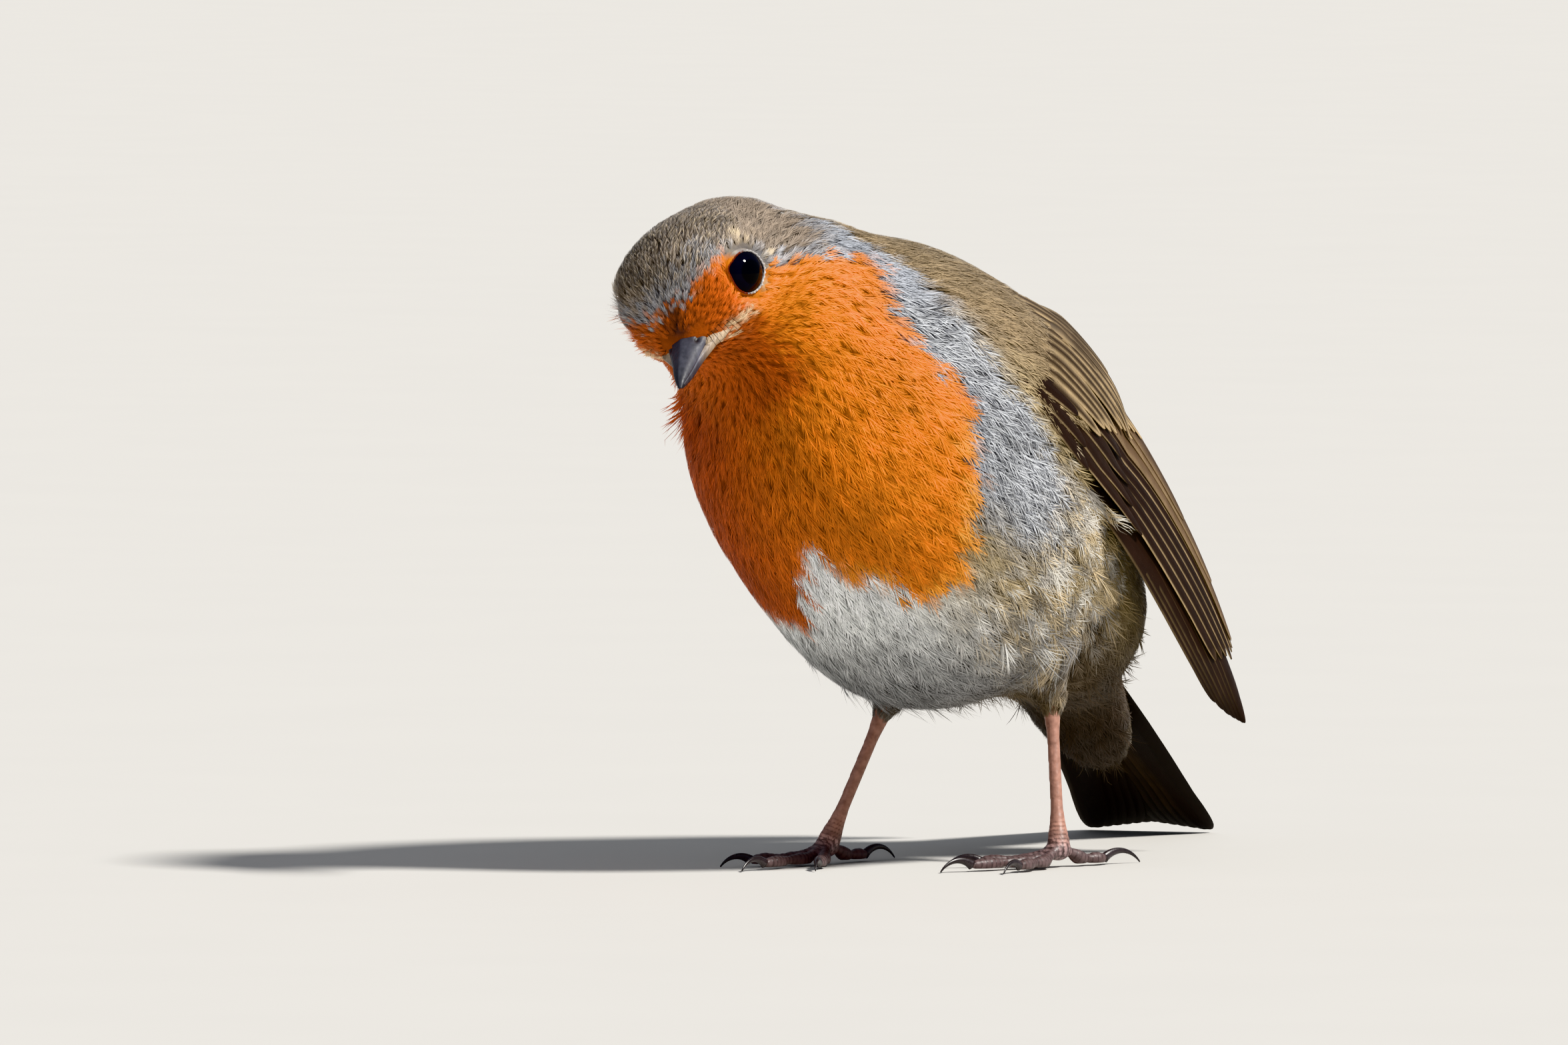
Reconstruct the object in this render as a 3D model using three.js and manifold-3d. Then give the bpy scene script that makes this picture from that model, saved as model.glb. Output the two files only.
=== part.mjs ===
// A life-size European robin (Erithacus rubecula) standing on a floor, head turned and tilted to its left.
// Millimetres and degrees. +X is the bird's left, +Y runs from breast to tail and +Z is up, from the floor.
// The outer surface of the plumage is one smooth field of blended round forms. It is sampled on a grid into
// closed meshes, which thin flat cuts part into head, neck, trunk and rump. Wings, tail, bill, legs, toes
// and claws are lofted.
import * as THREE from "three";
import { mergeVertices } from "three/addons/utils/BufferGeometryUtils.js";
import Module from "manifold-3d";

const wasm = await Module();
wasm.setup();

// ---------------------------------------------------------------- driving dimensions

const GAP = 0.3; // clear space between neighbouring solids
const BODY_PITCH = 36; // the trunk's long axis falls this far towards the tail

const HEAD_CENTRE = [-3, -44.6, 73.4];
const HEAD_TURN = 33; // towards the bird's left
const HEAD_NOD = 35; // bill below the horizontal
const HEAD_TILT = 26; // left eye raised
const SKULL = { place: [-0.9, 0, 0.1], size: [10.2, 10.4, 7.9] }; // feathered, half sizes
const MUZZLE = { from: [4, 0, -2.3], fromRadius: 6.4, to: [7.6, 0, -1.8], toRadius: 3.2 };

const EYE_RADIUS = 3.5;
const LID_PLACE = [2.15, 8.66, 0.72]; // middle of the lids, forward, outward and up from HEAD_CENTRE
const EYE_LOOK = [0.5, 0.86, 0.1]; // where the eye faces
const LID_RADIUS = 2.5;
const ORBIT_RADIUS = 8; // the shallow dish round each eye
const ORBIT_DEPTH = 0.5;

// The round forms that blend into the plumage: place, half sizes or radii, and how far each blend reaches.
const TRUNK = { place: [0, -1.2, 46.3], size: [22, 25.4, 27] };
const BREAST = { place: [0, -14.6, 55.9], size: [22.3, 23.3, 23.5], steeper: 4, blend: 8 };
const VENT = { place: [-0.5, 16.9, 34.9], size: [14, 19, 13.5], steeper: -3, blend: 8 };
const NECK = { from: [-1, -29.4, 69.4], fromRadius: 13.4, to: [-6.3, -32.8, 72.5], toRadius: 12.1, blend: 7 };
const UNDER_TAIL = { along: 15, above: -2.4, size: [6.4, 20, 4.2], blend: 6 };
const OVER_TAIL = { along: 3, above: 1.2, size: [6.6, 15.5, 4.4], blend: 5 };
const HEAD_BLEND = 4;
const ORBIT_BLEND = 1.6;
const THIGH_RADII = [5.2, 1.9]; // in the belly, at the shin

// Where flat cuts part the head from the neck, and the neck from the trunk.
const NAPE = { onHead: [-6.4, 0, -4.6], away: [-1, -27, 62] };
const NECK_ROOT = { point: [-1, -27, 65], normal: [-0.05, -0.72, 0.69] };

const BILL_ROOT = 7.6; // the horn reaches this far back under the feathers
const BILL_BASE = 9.3; // forward of the head's centre, where the feathers end
const BILL_LENGTH = 9.4; // along the culmen, feathers to tip
const BILL_TIP_OVERHANG = 0.7; // the upper mandible reaches past the lower one
const BILL_HALF_WIDTH = 2.6;
const BILL_UPPER_DEPTH = 1.75;
const BILL_LOWER_DEPTH = 1.95;
const MOUTH_HEIGHT = [-1.5, -0.95]; // at the base and at the tip, from the head's centre
const BILL_TAPER = 1.35; // more gathers the bill's stations closer to its tip
const BILL_NARROWING = [0.78, 0.14]; // shares of the width lost evenly, and close to the tip
const BILL_FLATTENING = [0.42, 0.5]; // the same for the depth
const HOOK_START = 0.93; // share of the length after which the mouth line drops

const TAIL_ROOT = [-1.5, 21, 31];
const TAIL_LENGTH = 58;
const TAIL_SWING = 22; // to the bird's right
const TAIL_TIP_HEIGHT = 0.4; // middle of the vanes above the floor at the tip
const TAIL_HALF_WIDTH = [4.8, 10.6]; // at the root, at the tip
const TAIL_THICKNESS = [3.2, 1.1];
const TAIL_EDGE_SHARE = 0.45; // thickness at the sides, as a share of the middle's
const TAIL_ARCH = [1.4, 0.15]; // rise of the middle over the edges, at the root and at the tip
const TAIL_NOTCH = 2.2; // how much longer the outer feathers are
const TAIL_CORNER = 3.4; // how much the corners round off again

const WING_THICKNESS = [3.4, 1.2]; // shoulder, tip
const WING_BULGE = [3, 0.8]; // outward bow of the folded wing across its width
const WING_SINK = 1.4; // how deep the shoulder lies in the breast's feathers
const WING_ROUNDING = 0.14; // share of the length over which the shoulder rounds off
const WING_EDGE_SHARE = 0.3; // thickness at the edges, as a share of the middle's
const WING_SPLIT = 0.41; // share of the length that the shoulder and coverts take
const RIGHT_WING_LIFT = 6; // the right wing droops less than the left
const WING_CUT = 0.002; // half of the cut between its lengths, as a share of the wing
// The edges of the left wing, from the bend to the tip, each as four points that steer a curve.
const WING_LOWER_EDGE = [[19, -24, 61], [28.5, -12, 54.5], [21, 22, 25], [15.8, 40, 16]];
const WING_UPPER_EDGE = [[9, -13, 75.5], [11, 8, 73.5], [12.9, 37, 43.3], [16, 40.4, 16.8]];

const TARSUS_RADIUS = { top: 1.15, middle: 0.82, foot: 1.45 };
const FOOT_HEIGHT = 3.1; // where the toes leave the tarsus
const ANKLE_DROP = 0.7; // how far below that the tarsus ends
const TOE_FALL = 4.6; // distance over which a toe comes down to the floor
const TOE_ARCH = 0.3; // rise of a toe between its pads
const TOE_RADIUS = 0.92;
const TOE_HEIGHT = 0.73; // the middle of a toe above the floor, which takes a little off each pad
const CLAW_BASE_RADIUS = 0.66;
const CLAW_TIP_RADIUS = 0.25;
const CLAW_ARC = [38, -50]; // slope of a claw at its base and at its tip

// Toe number, direction from straight ahead (positive turns inward), length and claw length. Toe 1 points
// back. A toe is cut to clear those above it in this list, the longest first.
const TOES = [
  { number: 3, turn: 0, length: 13.6, claw: 4.8 },
  { number: 2, turn: 30, length: 10.2, claw: 4.2 },
  { number: 4, turn: -27, length: 11.0, claw: 4.2 },
  { number: 1, turn: 176, length: 7.6, claw: 6.0 },
];

// Each leg: where the toes meet, where the feathers end above them, the thigh's root in the belly, and the
// foot's turn towards the bird's midline.
const LEGS = {
  left: { foot: [13, 7.4], shin: [9.7, 10, 20.2], thigh: [10.3, 6.5, 28], turnIn: 15 },
  right: { foot: [-13, -6.6], shin: [-9.6, 0.6, 19.4], thigh: [-10.3, 1.5, 28], turnIn: 4 },
};

// The box and the grid size in which each surface is sampled.
const TRUNK_GRID = [[-40, -75, 5], [40, 60, 100], 4.6];
const NECK_GRID = [[-32, -72, 35], [32, -2, 100], 3.3];
const HEAD_GRID = [[-28, -72, 45], [25, -18, 95], 2.3];
const RUMP_GRID = [[-28, 5, 2], [22, 55, 55], 3.1];
const THIGH_GRID = [[-25, -15, 10], [25, 25, 45], 2];
const REACH = 400; // larger than the bird

const SIDES = { left: 1, right: -1 };

const COLOURS = {
  brown: 0x6b5a44,
  orange: 0xd2691e,
  belly: 0xd8d3c8,
  darkBrown: 0x3b2f26,
  horn: 0x2e2c2f,
  leg: 0x8a5a48,
  eye: 0x0a0808,
};

// ---------------------------------------------------------------- small vector helpers

const radians = THREE.MathUtils.degToRad;
const add = (a, b, scale = 1) => a.map((x, i) => x + scale * b[i]);
const minus = (a, b) => a.map((x, i) => x - b[i]);
const dot = (a, b) => a[0] * b[0] + a[1] * b[1] + a[2] * b[2];
const length = (a) => Math.hypot(...a);
const unit = (a) => a.map((x) => x / length(a));
const cross = (a, b) => [a[1] * b[2] - a[2] * b[1], a[2] * b[0] - a[0] * b[2], a[0] * b[1] - a[1] * b[0]];
const mix = (a, b, t) => a + (b - a) * t;
const mixPoints = (a, b, t) => a.map((x, i) => mix(x, b[i], t));
const smooth = (t) => t * t * (3 - 2 * t);

// ---------------------------------------------------------------- the head's own axes

const headAxes = (() => {
  const turn = radians(HEAD_TURN);
  const nod = radians(HEAD_NOD);
  const tilt = radians(HEAD_TILT);
  const forward = [Math.sin(turn) * Math.cos(nod), -Math.cos(turn) * Math.cos(nod), -Math.sin(nod)];
  const level = [Math.cos(turn), Math.sin(turn), 0];
  const upright = cross(forward, level);
  const left = add(level.map((x) => x * Math.cos(tilt)), upright, Math.sin(tilt));
  return { forward, left, up: cross(forward, left) };
})();

// A place on the head, forward, left and up of its centre.
function onHead(forward, left, up) {
  let p = add(HEAD_CENTRE, headAxes.forward, forward);
  p = add(p, headAxes.left, left);
  return add(p, headAxes.up, up);
}

// ---------------------------------------------------------------- the tail's own axes

const tailPitch = Math.asin((TAIL_ROOT[2] - TAIL_TIP_HEIGHT) / TAIL_LENGTH);
const tailAxes = (() => {
  const swing = radians(TAIL_SWING);
  const level = [-Math.sin(swing), Math.cos(swing), 0];
  const along = add(level.map((x) => x * Math.cos(tailPitch)), [0, 0, -Math.sin(tailPitch)]);
  const left = [Math.cos(swing), Math.sin(swing), 0];
  return { along, left, up: cross(left, along) };
})();

// A place along the tail's middle line, this far from its root and above it.
const onTail = (along, above) => add(add(TAIL_ROOT, tailAxes.along, along), tailAxes.up, above);

// ---------------------------------------------------------------- the field of the plumage's outer surface

// Lateral, backward and dorsal axes of a form that falls by pitch degrees towards the tail.
function pitchedAxes(pitch) {
  const c = Math.cos(radians(pitch));
  const s = Math.sin(radians(pitch));
  return [[1, 0, 0], [0, c, -s], [0, s, c]];
}

function ellipsoid(p, centre, axes, size) {
  const offset = minus(p, centre);
  const q = axes.map((axis, i) => dot(offset, axis) / size[i]);
  const near = length(q);
  const steep = length(q.map((x, i) => x / size[i]));
  return (near * (near - 1)) / Math.max(steep, 1e-9);
}

function taper(p, a, b, radiusA, radiusB) {
  const line = minus(b, a);
  const t = THREE.MathUtils.clamp(dot(minus(p, a), line) / dot(line, line), 0, 1);
  return length(minus(p, mixPoints(a, b, t))) - mix(radiusA, radiusB, t);
}

function blend(a, b, width) {
  const h = THREE.MathUtils.clamp(0.5 + (0.5 * (b - a)) / width, 0, 1);
  return mix(b, a, h) - width * h * (1 - h);
}

const carve = (a, b, width) => -blend(-a, b, width);

const lookAxis = unit(EYE_LOOK);

// A place on the eye's own axis, this far out from the middle of the lids.
function onLook(side, distance) {
  const [forward, out, up] = add(LID_PLACE, lookAxis, distance);
  return onHead(forward, side * out, up);
}

function headField(p) {
  const axes = [headAxes.forward, headAxes.left, headAxes.up];
  let d = ellipsoid(p, onHead(...SKULL.place), axes, SKULL.size);
  const muzzle = taper(p, onHead(...MUZZLE.from), onHead(...MUZZLE.to), MUZZLE.fromRadius, MUZZLE.toRadius);
  d = blend(d, muzzle, HEAD_BLEND);
  for (const side of Object.values(SIDES)) {
    const dish = length(minus(p, onLook(side, ORBIT_RADIUS - ORBIT_DEPTH))) - ORBIT_RADIUS;
    d = carve(d, dish, ORBIT_BLEND);
  }
  return d;
}

function plumage(p) {
  const pitched = ({ place, size, steeper }) => ellipsoid(p, place, pitchedAxes(BODY_PITCH + steeper), size);
  const covert = ({ along, above, size }) =>
    ellipsoid(p, onTail(along, above), [tailAxes.left, tailAxes.along, tailAxes.up], size);
  let d = pitched({ ...TRUNK, steeper: 0 });
  d = blend(d, pitched(BREAST), BREAST.blend);
  d = blend(d, pitched(VENT), VENT.blend);
  d = blend(d, taper(p, NECK.from, NECK.to, NECK.fromRadius, NECK.toRadius), NECK.blend);
  d = blend(d, covert(UNDER_TAIL), UNDER_TAIL.blend);
  d = blend(d, covert(OVER_TAIL), OVER_TAIL.blend);
  return blend(d, headField(p), HEAD_BLEND);
}

// ---------------------------------------------------------------- meshes of a field

const CORNERS = [0, 1, 2, 3, 4, 5, 6, 7].map((i) => [i & 1, (i >> 1) & 1, (i >> 2) & 1]);
const EDGES = CORNERS.flatMap((a, i) =>
  CORNERS.map((b, j) => [i, j]).filter(([, j]) => j > i && length(minus(CORNERS[j], a)) === 1),
);

// The zero surface of a field inside a box, as a closed mesh with one vertex for each cell that it crosses.
function surfaceOf(field, low, high, cell) {
  const count = low.map((x, i) => Math.ceil((high[i] - x) / cell) + 1);
  const at = (i, j, k) => (k * count[1] + j) * count[0] + i;
  const place = (i, j, k) => [low[0] + i * cell, low[1] + j * cell, low[2] + k * cell];
  const values = new Float64Array(count[0] * count[1] * count[2]);
  const onWall = (...index) => index.some((n, axis) => n < 2 || n > count[axis] - 3);
  for (let k = 0; k < count[2]; k++)
    for (let j = 0; j < count[1]; j++)
      for (let i = 0; i < count[0]; i++)
        values[at(i, j, k)] = onWall(i, j, k) ? cell : field(place(i, j, k));

  const vertexOf = new Map();
  const points = [];
  for (let k = 0; k < count[2] - 1; k++)
    for (let j = 0; j < count[1] - 1; j++)
      for (let i = 0; i < count[0] - 1; i++) {
        const corner = CORNERS.map(([a, b, c]) => values[at(i + a, j + b, k + c)]);
        const crossed = EDGES.filter(([a, b]) => corner[a] < 0 !== corner[b] < 0);
        if (!crossed.length) continue;
        let sum = [0, 0, 0];
        for (const [a, b] of crossed)
          sum = add(sum, mixPoints(CORNERS[a], CORNERS[b], corner[a] / (corner[a] - corner[b])));
        vertexOf.set(at(i, j, k), points.length);
        points.push(settle(field, add(place(i, j, k), sum, cell / crossed.length), cell));
      }

  const faces = [];
  const steps = [[1, 0, 0], [0, 1, 0], [0, 0, 1]];
  for (let k = 1; k < count[2] - 1; k++)
    for (let j = 1; j < count[1] - 1; j++)
      for (let i = 1; i < count[0] - 1; i++)
        steps.forEach((step, axis) => {
          const here = values[at(i, j, k)];
          const there = values[at(i + step[0], j + step[1], k + step[2])];
          if (here < 0 === there < 0) return;
          const u = steps[(axis + 1) % 3];
          const v = steps[(axis + 2) % 3];
          const ring = [[0, 0], [1, 0], [1, 1], [0, 1]].map(([a, b]) =>
            vertexOf.get(at(i - a * u[0] - b * v[0], j - a * u[1] - b * v[1], k - a * u[2] - b * v[2])),
          );
          const quad = here < 0 ? ring : ring.reverse();
          faces.push(quad[0], quad[1], quad[2], quad[0], quad[2], quad[3]);
        });
  return closedGeometry(points, faces);
}

// Moves a point onto the field's zero surface, by at most half a cell.
function settle(field, start, cell) {
  const step = 0.05;
  let p = start;
  for (let round = 0; round < 3; round++) {
    const slope = [0, 1, 2].map((i) => {
      const shift = [0, 0, 0];
      shift[i] = step;
      return (field(add(p, shift)) - field(add(p, shift, -1))) / (2 * step);
    });
    const away = -field(p) / Math.max(dot(slope, slope), 1e-6);
    p = add(p, slope, away);
  }
  return length(minus(p, start)) < cell / 2 ? p : start;
}

function closedGeometry(points, faces) {
  const geometry = new THREE.BufferGeometry();
  geometry.setAttribute("position", new THREE.BufferAttribute(new Float32Array(points.flat()), 3));
  geometry.setIndex(faces);
  return geometry;
}

// A closed body through rings of points that all hold the same number, with a fan over each end.
function loft(rings) {
  const size = rings[0].length;
  const points = rings.flat();
  const faces = [];
  for (let r = 0; r < rings.length - 1; r++)
    for (let i = 0; i < size; i++) {
      const a = r * size + i;
      const b = r * size + ((i + 1) % size);
      faces.push(a, b, b + size, a, b + size, a + size);
    }
  for (const [ring, first] of [[0, true], [rings.length - 1, false]]) {
    const centre = points.length;
    points.push(rings[ring].reduce((sum, p) => add(sum, p, 1 / size), [0, 0, 0]));
    for (let i = 0; i < size; i++) {
      const a = ring * size + i;
      const b = ring * size + ((i + 1) % size);
      faces.push(...(first ? [centre, b, a] : [centre, a, b]));
    }
  }
  return closedGeometry(points, faces);
}

// A round tube of changing radius along a list of points. The last argument widens it, to make a cutter.
function tube(path, radii, sides, grow = 0) {
  const rings = path.map((p, n) => {
    const along = unit(minus(path[Math.min(n + 1, path.length - 1)], path[Math.max(n - 1, 0)]));
    const across = unit(cross(Math.abs(along[2]) > 0.9 ? [0, 1, 0] : [0, 0, 1], along));
    const over = cross(along, across);
    return Array.from({ length: sides }, (_, i) => {
      const angle = (2 * Math.PI * i) / sides;
      const radius = radii[n] + grow;
      return add(add(p, across, radius * Math.cos(angle)), over, radius * Math.sin(angle));
    });
  });
  return loft(rings);
}

// ---------------------------------------------------------------- solids

function solid(geometry) {
  const bare = geometry.clone();
  bare.deleteAttribute("normal");
  bare.deleteAttribute("uv");
  const merged = mergeVertices(bare, 1e-4);
  const made = new wasm.Manifold(
    new wasm.Mesh({
      numProp: 3,
      vertProperties: merged.attributes.position.array,
      triVerts: new Uint32Array(merged.index.array),
    }),
  );
  return made.volume() < 0 ? solid(flipped(merged)) : made;
}

function flipped(geometry) {
  const index = Array.from(geometry.index.array);
  for (let i = 0; i < index.length; i += 3) [index[i + 1], index[i + 2]] = [index[i + 2], index[i + 1]];
  return closedGeometry(chunk(geometry.attributes.position.array), index);
}

function chunk(array) {
  return Array.from({ length: array.length / 3 }, (_, i) => Array.from(array.slice(3 * i, 3 * i + 3)));
}

// Everything on the far side of a plane, within the reach of the bird.
function beyond(point, normal) {
  const box = new THREE.BoxGeometry(REACH, REACH, REACH);
  const up = new THREE.Vector3(...unit(normal));
  box.translate(0, 0, REACH / 2);
  box.applyQuaternion(new THREE.Quaternion().setFromUnitVectors(new THREE.Vector3(0, 0, 1), up));
  box.translate(...point);
  return solid(box);
}

const largest = (body) => body.decompose().reduce((best, b) => (b.volume() > best.volume() ? b : best));
const cutBy = (body, ...cutters) => largest(cutters.reduce((rest, cutter) => rest.subtract(cutter), body));
const aboveFloor = (body) => largest(body.intersect(beyond([0, 0, 0], [0, 0, 1])));

function sphere(centre, radius, sides = 12) {
  const ball = new THREE.SphereGeometry(radius, sides, Math.round(sides * 0.7));
  ball.translate(...centre);
  return solid(ball);
}

// ---------------------------------------------------------------- bill

// One mandible: a half round section that narrows to the tip. Upper is 1, lower is -1.
function mandible(upper, grow = 0) {
  const depth = upper > 0 ? BILL_UPPER_DEPTH : BILL_LOWER_DEPTH;
  const reach = upper > 0 ? BILL_LENGTH : BILL_LENGTH - BILL_TIP_OVERHANG;
  const stations = 10;
  const sides = 8;
  const rings = Array.from({ length: stations }, (_, n) => {
    const share = Math.sin((n / (stations - 1)) * BILL_TAPER) / Math.sin(BILL_TAPER);
    const forward = mix(BILL_ROOT, BILL_BASE + reach, share);
    const out = THREE.MathUtils.clamp((forward - BILL_BASE) / BILL_LENGTH, 0, 1);
    const mouth = mix(...MOUTH_HEIGHT, out) - Math.max(0, out - HOOK_START);
    const crown = depth * (1 - BILL_FLATTENING[0] * out - BILL_FLATTENING[1] * out ** 4);
    const half = BILL_HALF_WIDTH * (1 - BILL_NARROWING[0] * out - BILL_NARROWING[1] * out ** 6) + grow;
    const ring = Array.from({ length: sides + 1 }, (_, i) => {
      const angle = (Math.PI * i) / sides;
      const height = mouth + upper * (GAP / 2 - grow + Math.sin(angle) * (crown - GAP / 2 + 2 * grow));
      return onHead(forward + (n ? grow : -grow), half * Math.cos(angle), height);
    });
    return upper > 0 ? ring : ring.reverse();
  });
  return solid(loft(rings));
}

// ---------------------------------------------------------------- wings and tail

// The lower and upper edges of a folded wing, shoulder to tip.
function wingEdges(side) {
  const lift = side > 0 ? 0 : RIGHT_WING_LIFT;
  const lifts = [0, 0, 0.6 * lift, lift];
  const curve = (points) =>
    new THREE.CubicBezierCurve3(
      ...points.map(([x, y, z], i) => new THREE.Vector3(side * x, y, z + lifts[i])),
    );
  return { lower: curve(WING_LOWER_EDGE), upper: curve(WING_UPPER_EDGE) };
}

// Moves a point of the wing outward until it lies on the plumage, sunk by the given depth.
function laidOnPlumage(point, out, sink) {
  let p = point;
  for (let round = 0; round < 4; round++) {
    const inside = -sink - plumage(p);
    if (inside <= 0) return p;
    p = add(p, out, inside);
  }
  return p;
}

// A length of a wing between two shares of its length, as a bowed plate with rounded edges.
function wing(side, from, to, stations, grow = 0) {
  const edges = wingEdges(side);
  const across = 7;
  const rings = Array.from({ length: stations + 1 }, (_, n) => {
    const t = mix(from, to, n / stations);
    const narrow = 0.5 * (1 - Math.sqrt(1 - Math.max(0, 1 - t / WING_ROUNDING) ** 2 * 0.8));
    const edge = [edges.lower.getPoint(t).toArray(), edges.upper.getPoint(t).toArray()];
    const low = mixPoints(edge[0], edge[1], narrow);
    const high = mixPoints(edge[1], edge[0], narrow);
    const along = unit(edges.lower.getTangent(t).add(edges.upper.getTangent(t)).toArray());
    const width = minus(high, low);
    const out = unit(cross(along, width).map((x) => x * side));
    const thick = mix(...WING_THICKNESS, Math.sqrt(t));
    const sink = mix(WING_SINK, 0, smooth(Math.min(1, t * 4)));
    const plate = (v, face) => {
      const bow = 4 * v * (1 - v);
      const half = (thick / 2) * mix(WING_EDGE_SHARE, 1, Math.sqrt(bow)) + grow;
      const flat = add(mixPoints(low, high, v), out, mix(...WING_BULGE, t) * bow);
      const middle = add(laidOnPlumage(flat, out, sink), unit(width), grow * (2 * v - 1));
      return add(middle, out, face * half);
    };
    const share = (i) => 0.5 - 0.5 * Math.cos((Math.PI * i) / across);
    const outer = Array.from({ length: across + 1 }, (_, i) => plate(share(i), 1));
    const inner = Array.from({ length: across + 1 }, (_, i) => plate(share(across - i), -1));
    return [...outer, ...inner];
  });
  return solid(loft(rings));
}

// The closed tail: a long plate, arched across, with a shallow notch between rounded corners.
function tail(grow = 0) {
  const stations = 10;
  const across = 7;
  const rings = Array.from({ length: stations + 1 }, (_, n) => {
    const t = n / stations;
    const half = mix(...TAIL_HALF_WIDTH, Math.pow(t, 0.8)) + grow;
    const thick = mix(...TAIL_THICKNESS, Math.sqrt(t));
    const plate = (v, face) => {
      const edge = Math.abs(v);
      const corner = t ** 4 * (TAIL_NOTCH * edge ** 2 - TAIL_CORNER * edge ** 6);
      const reach = TAIL_LENGTH * t + corner + mix(-4 * grow, grow, t);
      const arch = mix(...TAIL_ARCH, t) * (1 - v * v);
      const depth = (thick / 2) * mix(TAIL_EDGE_SHARE, 1, Math.sqrt(1 - v * v)) + grow;
      let p = add(TAIL_ROOT, tailAxes.along, reach);
      p = add(p, tailAxes.left, half * v);
      return add(p, tailAxes.up, arch + face * depth);
    };
    const share = (i) => -Math.cos((Math.PI * i) / across);
    const top = Array.from({ length: across + 1 }, (_, i) => plate(share(i), 1));
    const bottom = Array.from({ length: across + 1 }, (_, i) => plate(share(across - i), -1));
    return [...top, ...bottom];
  });
  return solid(loft(rings));
}

// ---------------------------------------------------------------- legs

function tarsus(leg, grow = 0) {
  const foot = [...leg.foot, FOOT_HEIGHT - ANKLE_DROP];
  const steps = 10;
  const path = Array.from({ length: steps + 1 }, (_, n) => mixPoints(leg.shin, foot, n / steps));
  const radii = path.map((_, n) => {
    const t = n / steps;
    const { top, middle, foot: low } = TARSUS_RADIUS;
    return t < 0.5 ? mix(top, middle, smooth(Math.min(1, t * 4))) : mix(middle, low, smooth(t * 2 - 1) ** 2);
  });
  return solid(tube(path, radii, 8, grow));
}

// Which way a toe points, level with the floor.
function toeHeading(side, leg, toe) {
  const angle = radians(leg.turnIn + toe.turn) * (side === "left" ? -1 : 1);
  return [Math.sin(angle), -Math.cos(angle), 0];
}

// A toe comes down from the foot and runs along the floor on its pads, a little arched between them.
function toePath(side, leg, toe) {
  const heading = toeHeading(side, leg, toe);
  const steps = 10;
  return Array.from({ length: steps + 1 }, (_, n) => {
    const t = n / steps;
    const out = mix(0.4, toe.length, t);
    const drop = smooth(Math.min(1, out / TOE_FALL));
    const arch = TOE_ARCH * Math.sin(Math.PI * 2.5 * t) ** 2;
    const height = mix(FOOT_HEIGHT - 0.9, TOE_HEIGHT, drop) + arch * drop * (1 - t);
    return add([...leg.foot, height], heading, out);
  });
}

function toeSolid(side, leg, toe, grow = 0) {
  const path = toePath(side, leg, toe);
  const radii = path.map((_, n) => {
    const t = n / (path.length - 1);
    return TOE_RADIUS * (0.97 + 0.1 * Math.cos(Math.PI * 5 * t) - 0.12 * t);
  });
  const body = solid(tube(path, radii, 6, grow));
  return grow ? body : aboveFloor(body);
}

// A claw leaves the toe's end, rises a little, and curves down until its tip is just over the floor.
function claw(side, leg, toe) {
  const heading = toeHeading(side, leg, toe);
  const base = add(toePath(side, leg, toe).at(-1), heading, GAP);
  const steps = 6;
  const [start, end] = CLAW_ARC.map(radians);
  const arc = (t) => {
    const angle = mix(start, end, t);
    const scale = toe.claw / (start - end);
    return [scale * (Math.sin(start) - Math.sin(angle)), scale * (Math.cos(angle) - Math.cos(start))];
  };
  const missing = CLAW_TIP_RADIUS + 0.02 - base[2] - arc(1)[1];
  const path = Array.from({ length: steps + 1 }, (_, n) => {
    const [out, rise] = arc(n / steps);
    return add(add(base, heading, out), [0, 0, rise + (missing * n) / steps]);
  });
  const radii = path.map((_, n) => mix(CLAW_BASE_RADIUS, CLAW_TIP_RADIUS, n / steps));
  return aboveFloor(solid(tube(path, radii, 6)));
}

// ---------------------------------------------------------------- assembly

const robin = new THREE.Group();

function place(name, body, colour, roughness = 0.85) {
  const mesh = body.getMesh();
  const points = [];
  for (let i = 0; i < mesh.numVert; i++)
    points.push(Array.from(mesh.vertProperties.slice(i * mesh.numProp, i * mesh.numProp + 3)));
  const geometry = closedGeometry(points, Array.from(mesh.triVerts));
  geometry.computeVertexNormals();
  const material = new THREE.MeshStandardMaterial({ color: COLOURS[colour], roughness, metalness: 0 });
  const node = new THREE.Mesh(geometry, material);
  node.name = name;
  robin.add(node);
}

const headCut = { point: onHead(...NAPE.onHead), normal: unit(minus(HEAD_CENTRE, NAPE.away)) };
const neckCut = { point: NECK_ROOT.point, normal: unit(NECK_ROOT.normal) };
const rumpCut = { point: onTail(-GAP / 2, 0), normal: tailAxes.along };

// Everything ahead of a cut (side 1) or behind it (side -1), less half of the gap.
function part({ point, normal }, side) {
  return beyond(add(point, normal, (side * GAP) / 2), normal.map((x) => side * x));
}

const wingCutters = Object.values(SIDES).map((side) => wing(side, 0, 1, 17, GAP));
const eyeCentre = (side) => onLook(side, -Math.sqrt(EYE_RADIUS ** 2 - LID_RADIUS ** 2));
const eyeCutters = Object.values(SIDES).map((side) => sphere(eyeCentre(side), EYE_RADIUS + GAP));
const billCutters = [mandible(1, GAP), mandible(-1, GAP)];

const wholeTrunk = solid(surfaceOf(plumage, ...TRUNK_GRID));
const trunk = wholeTrunk.intersect(part(neckCut, -1)).intersect(part(rumpCut, -1));
place("trunk", cutBy(trunk, ...wingCutters), "belly");

const rump = solid(surfaceOf(plumage, ...RUMP_GRID)).intersect(part(rumpCut, 1));
place("rump", cutBy(rump, ...wingCutters, tail(GAP)), "brown");

const neck = solid(surfaceOf(plumage, ...NECK_GRID)).intersect(part(neckCut, 1));
place("neck", cutBy(neck.intersect(part(headCut, -1)), ...wingCutters), "orange");

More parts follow.
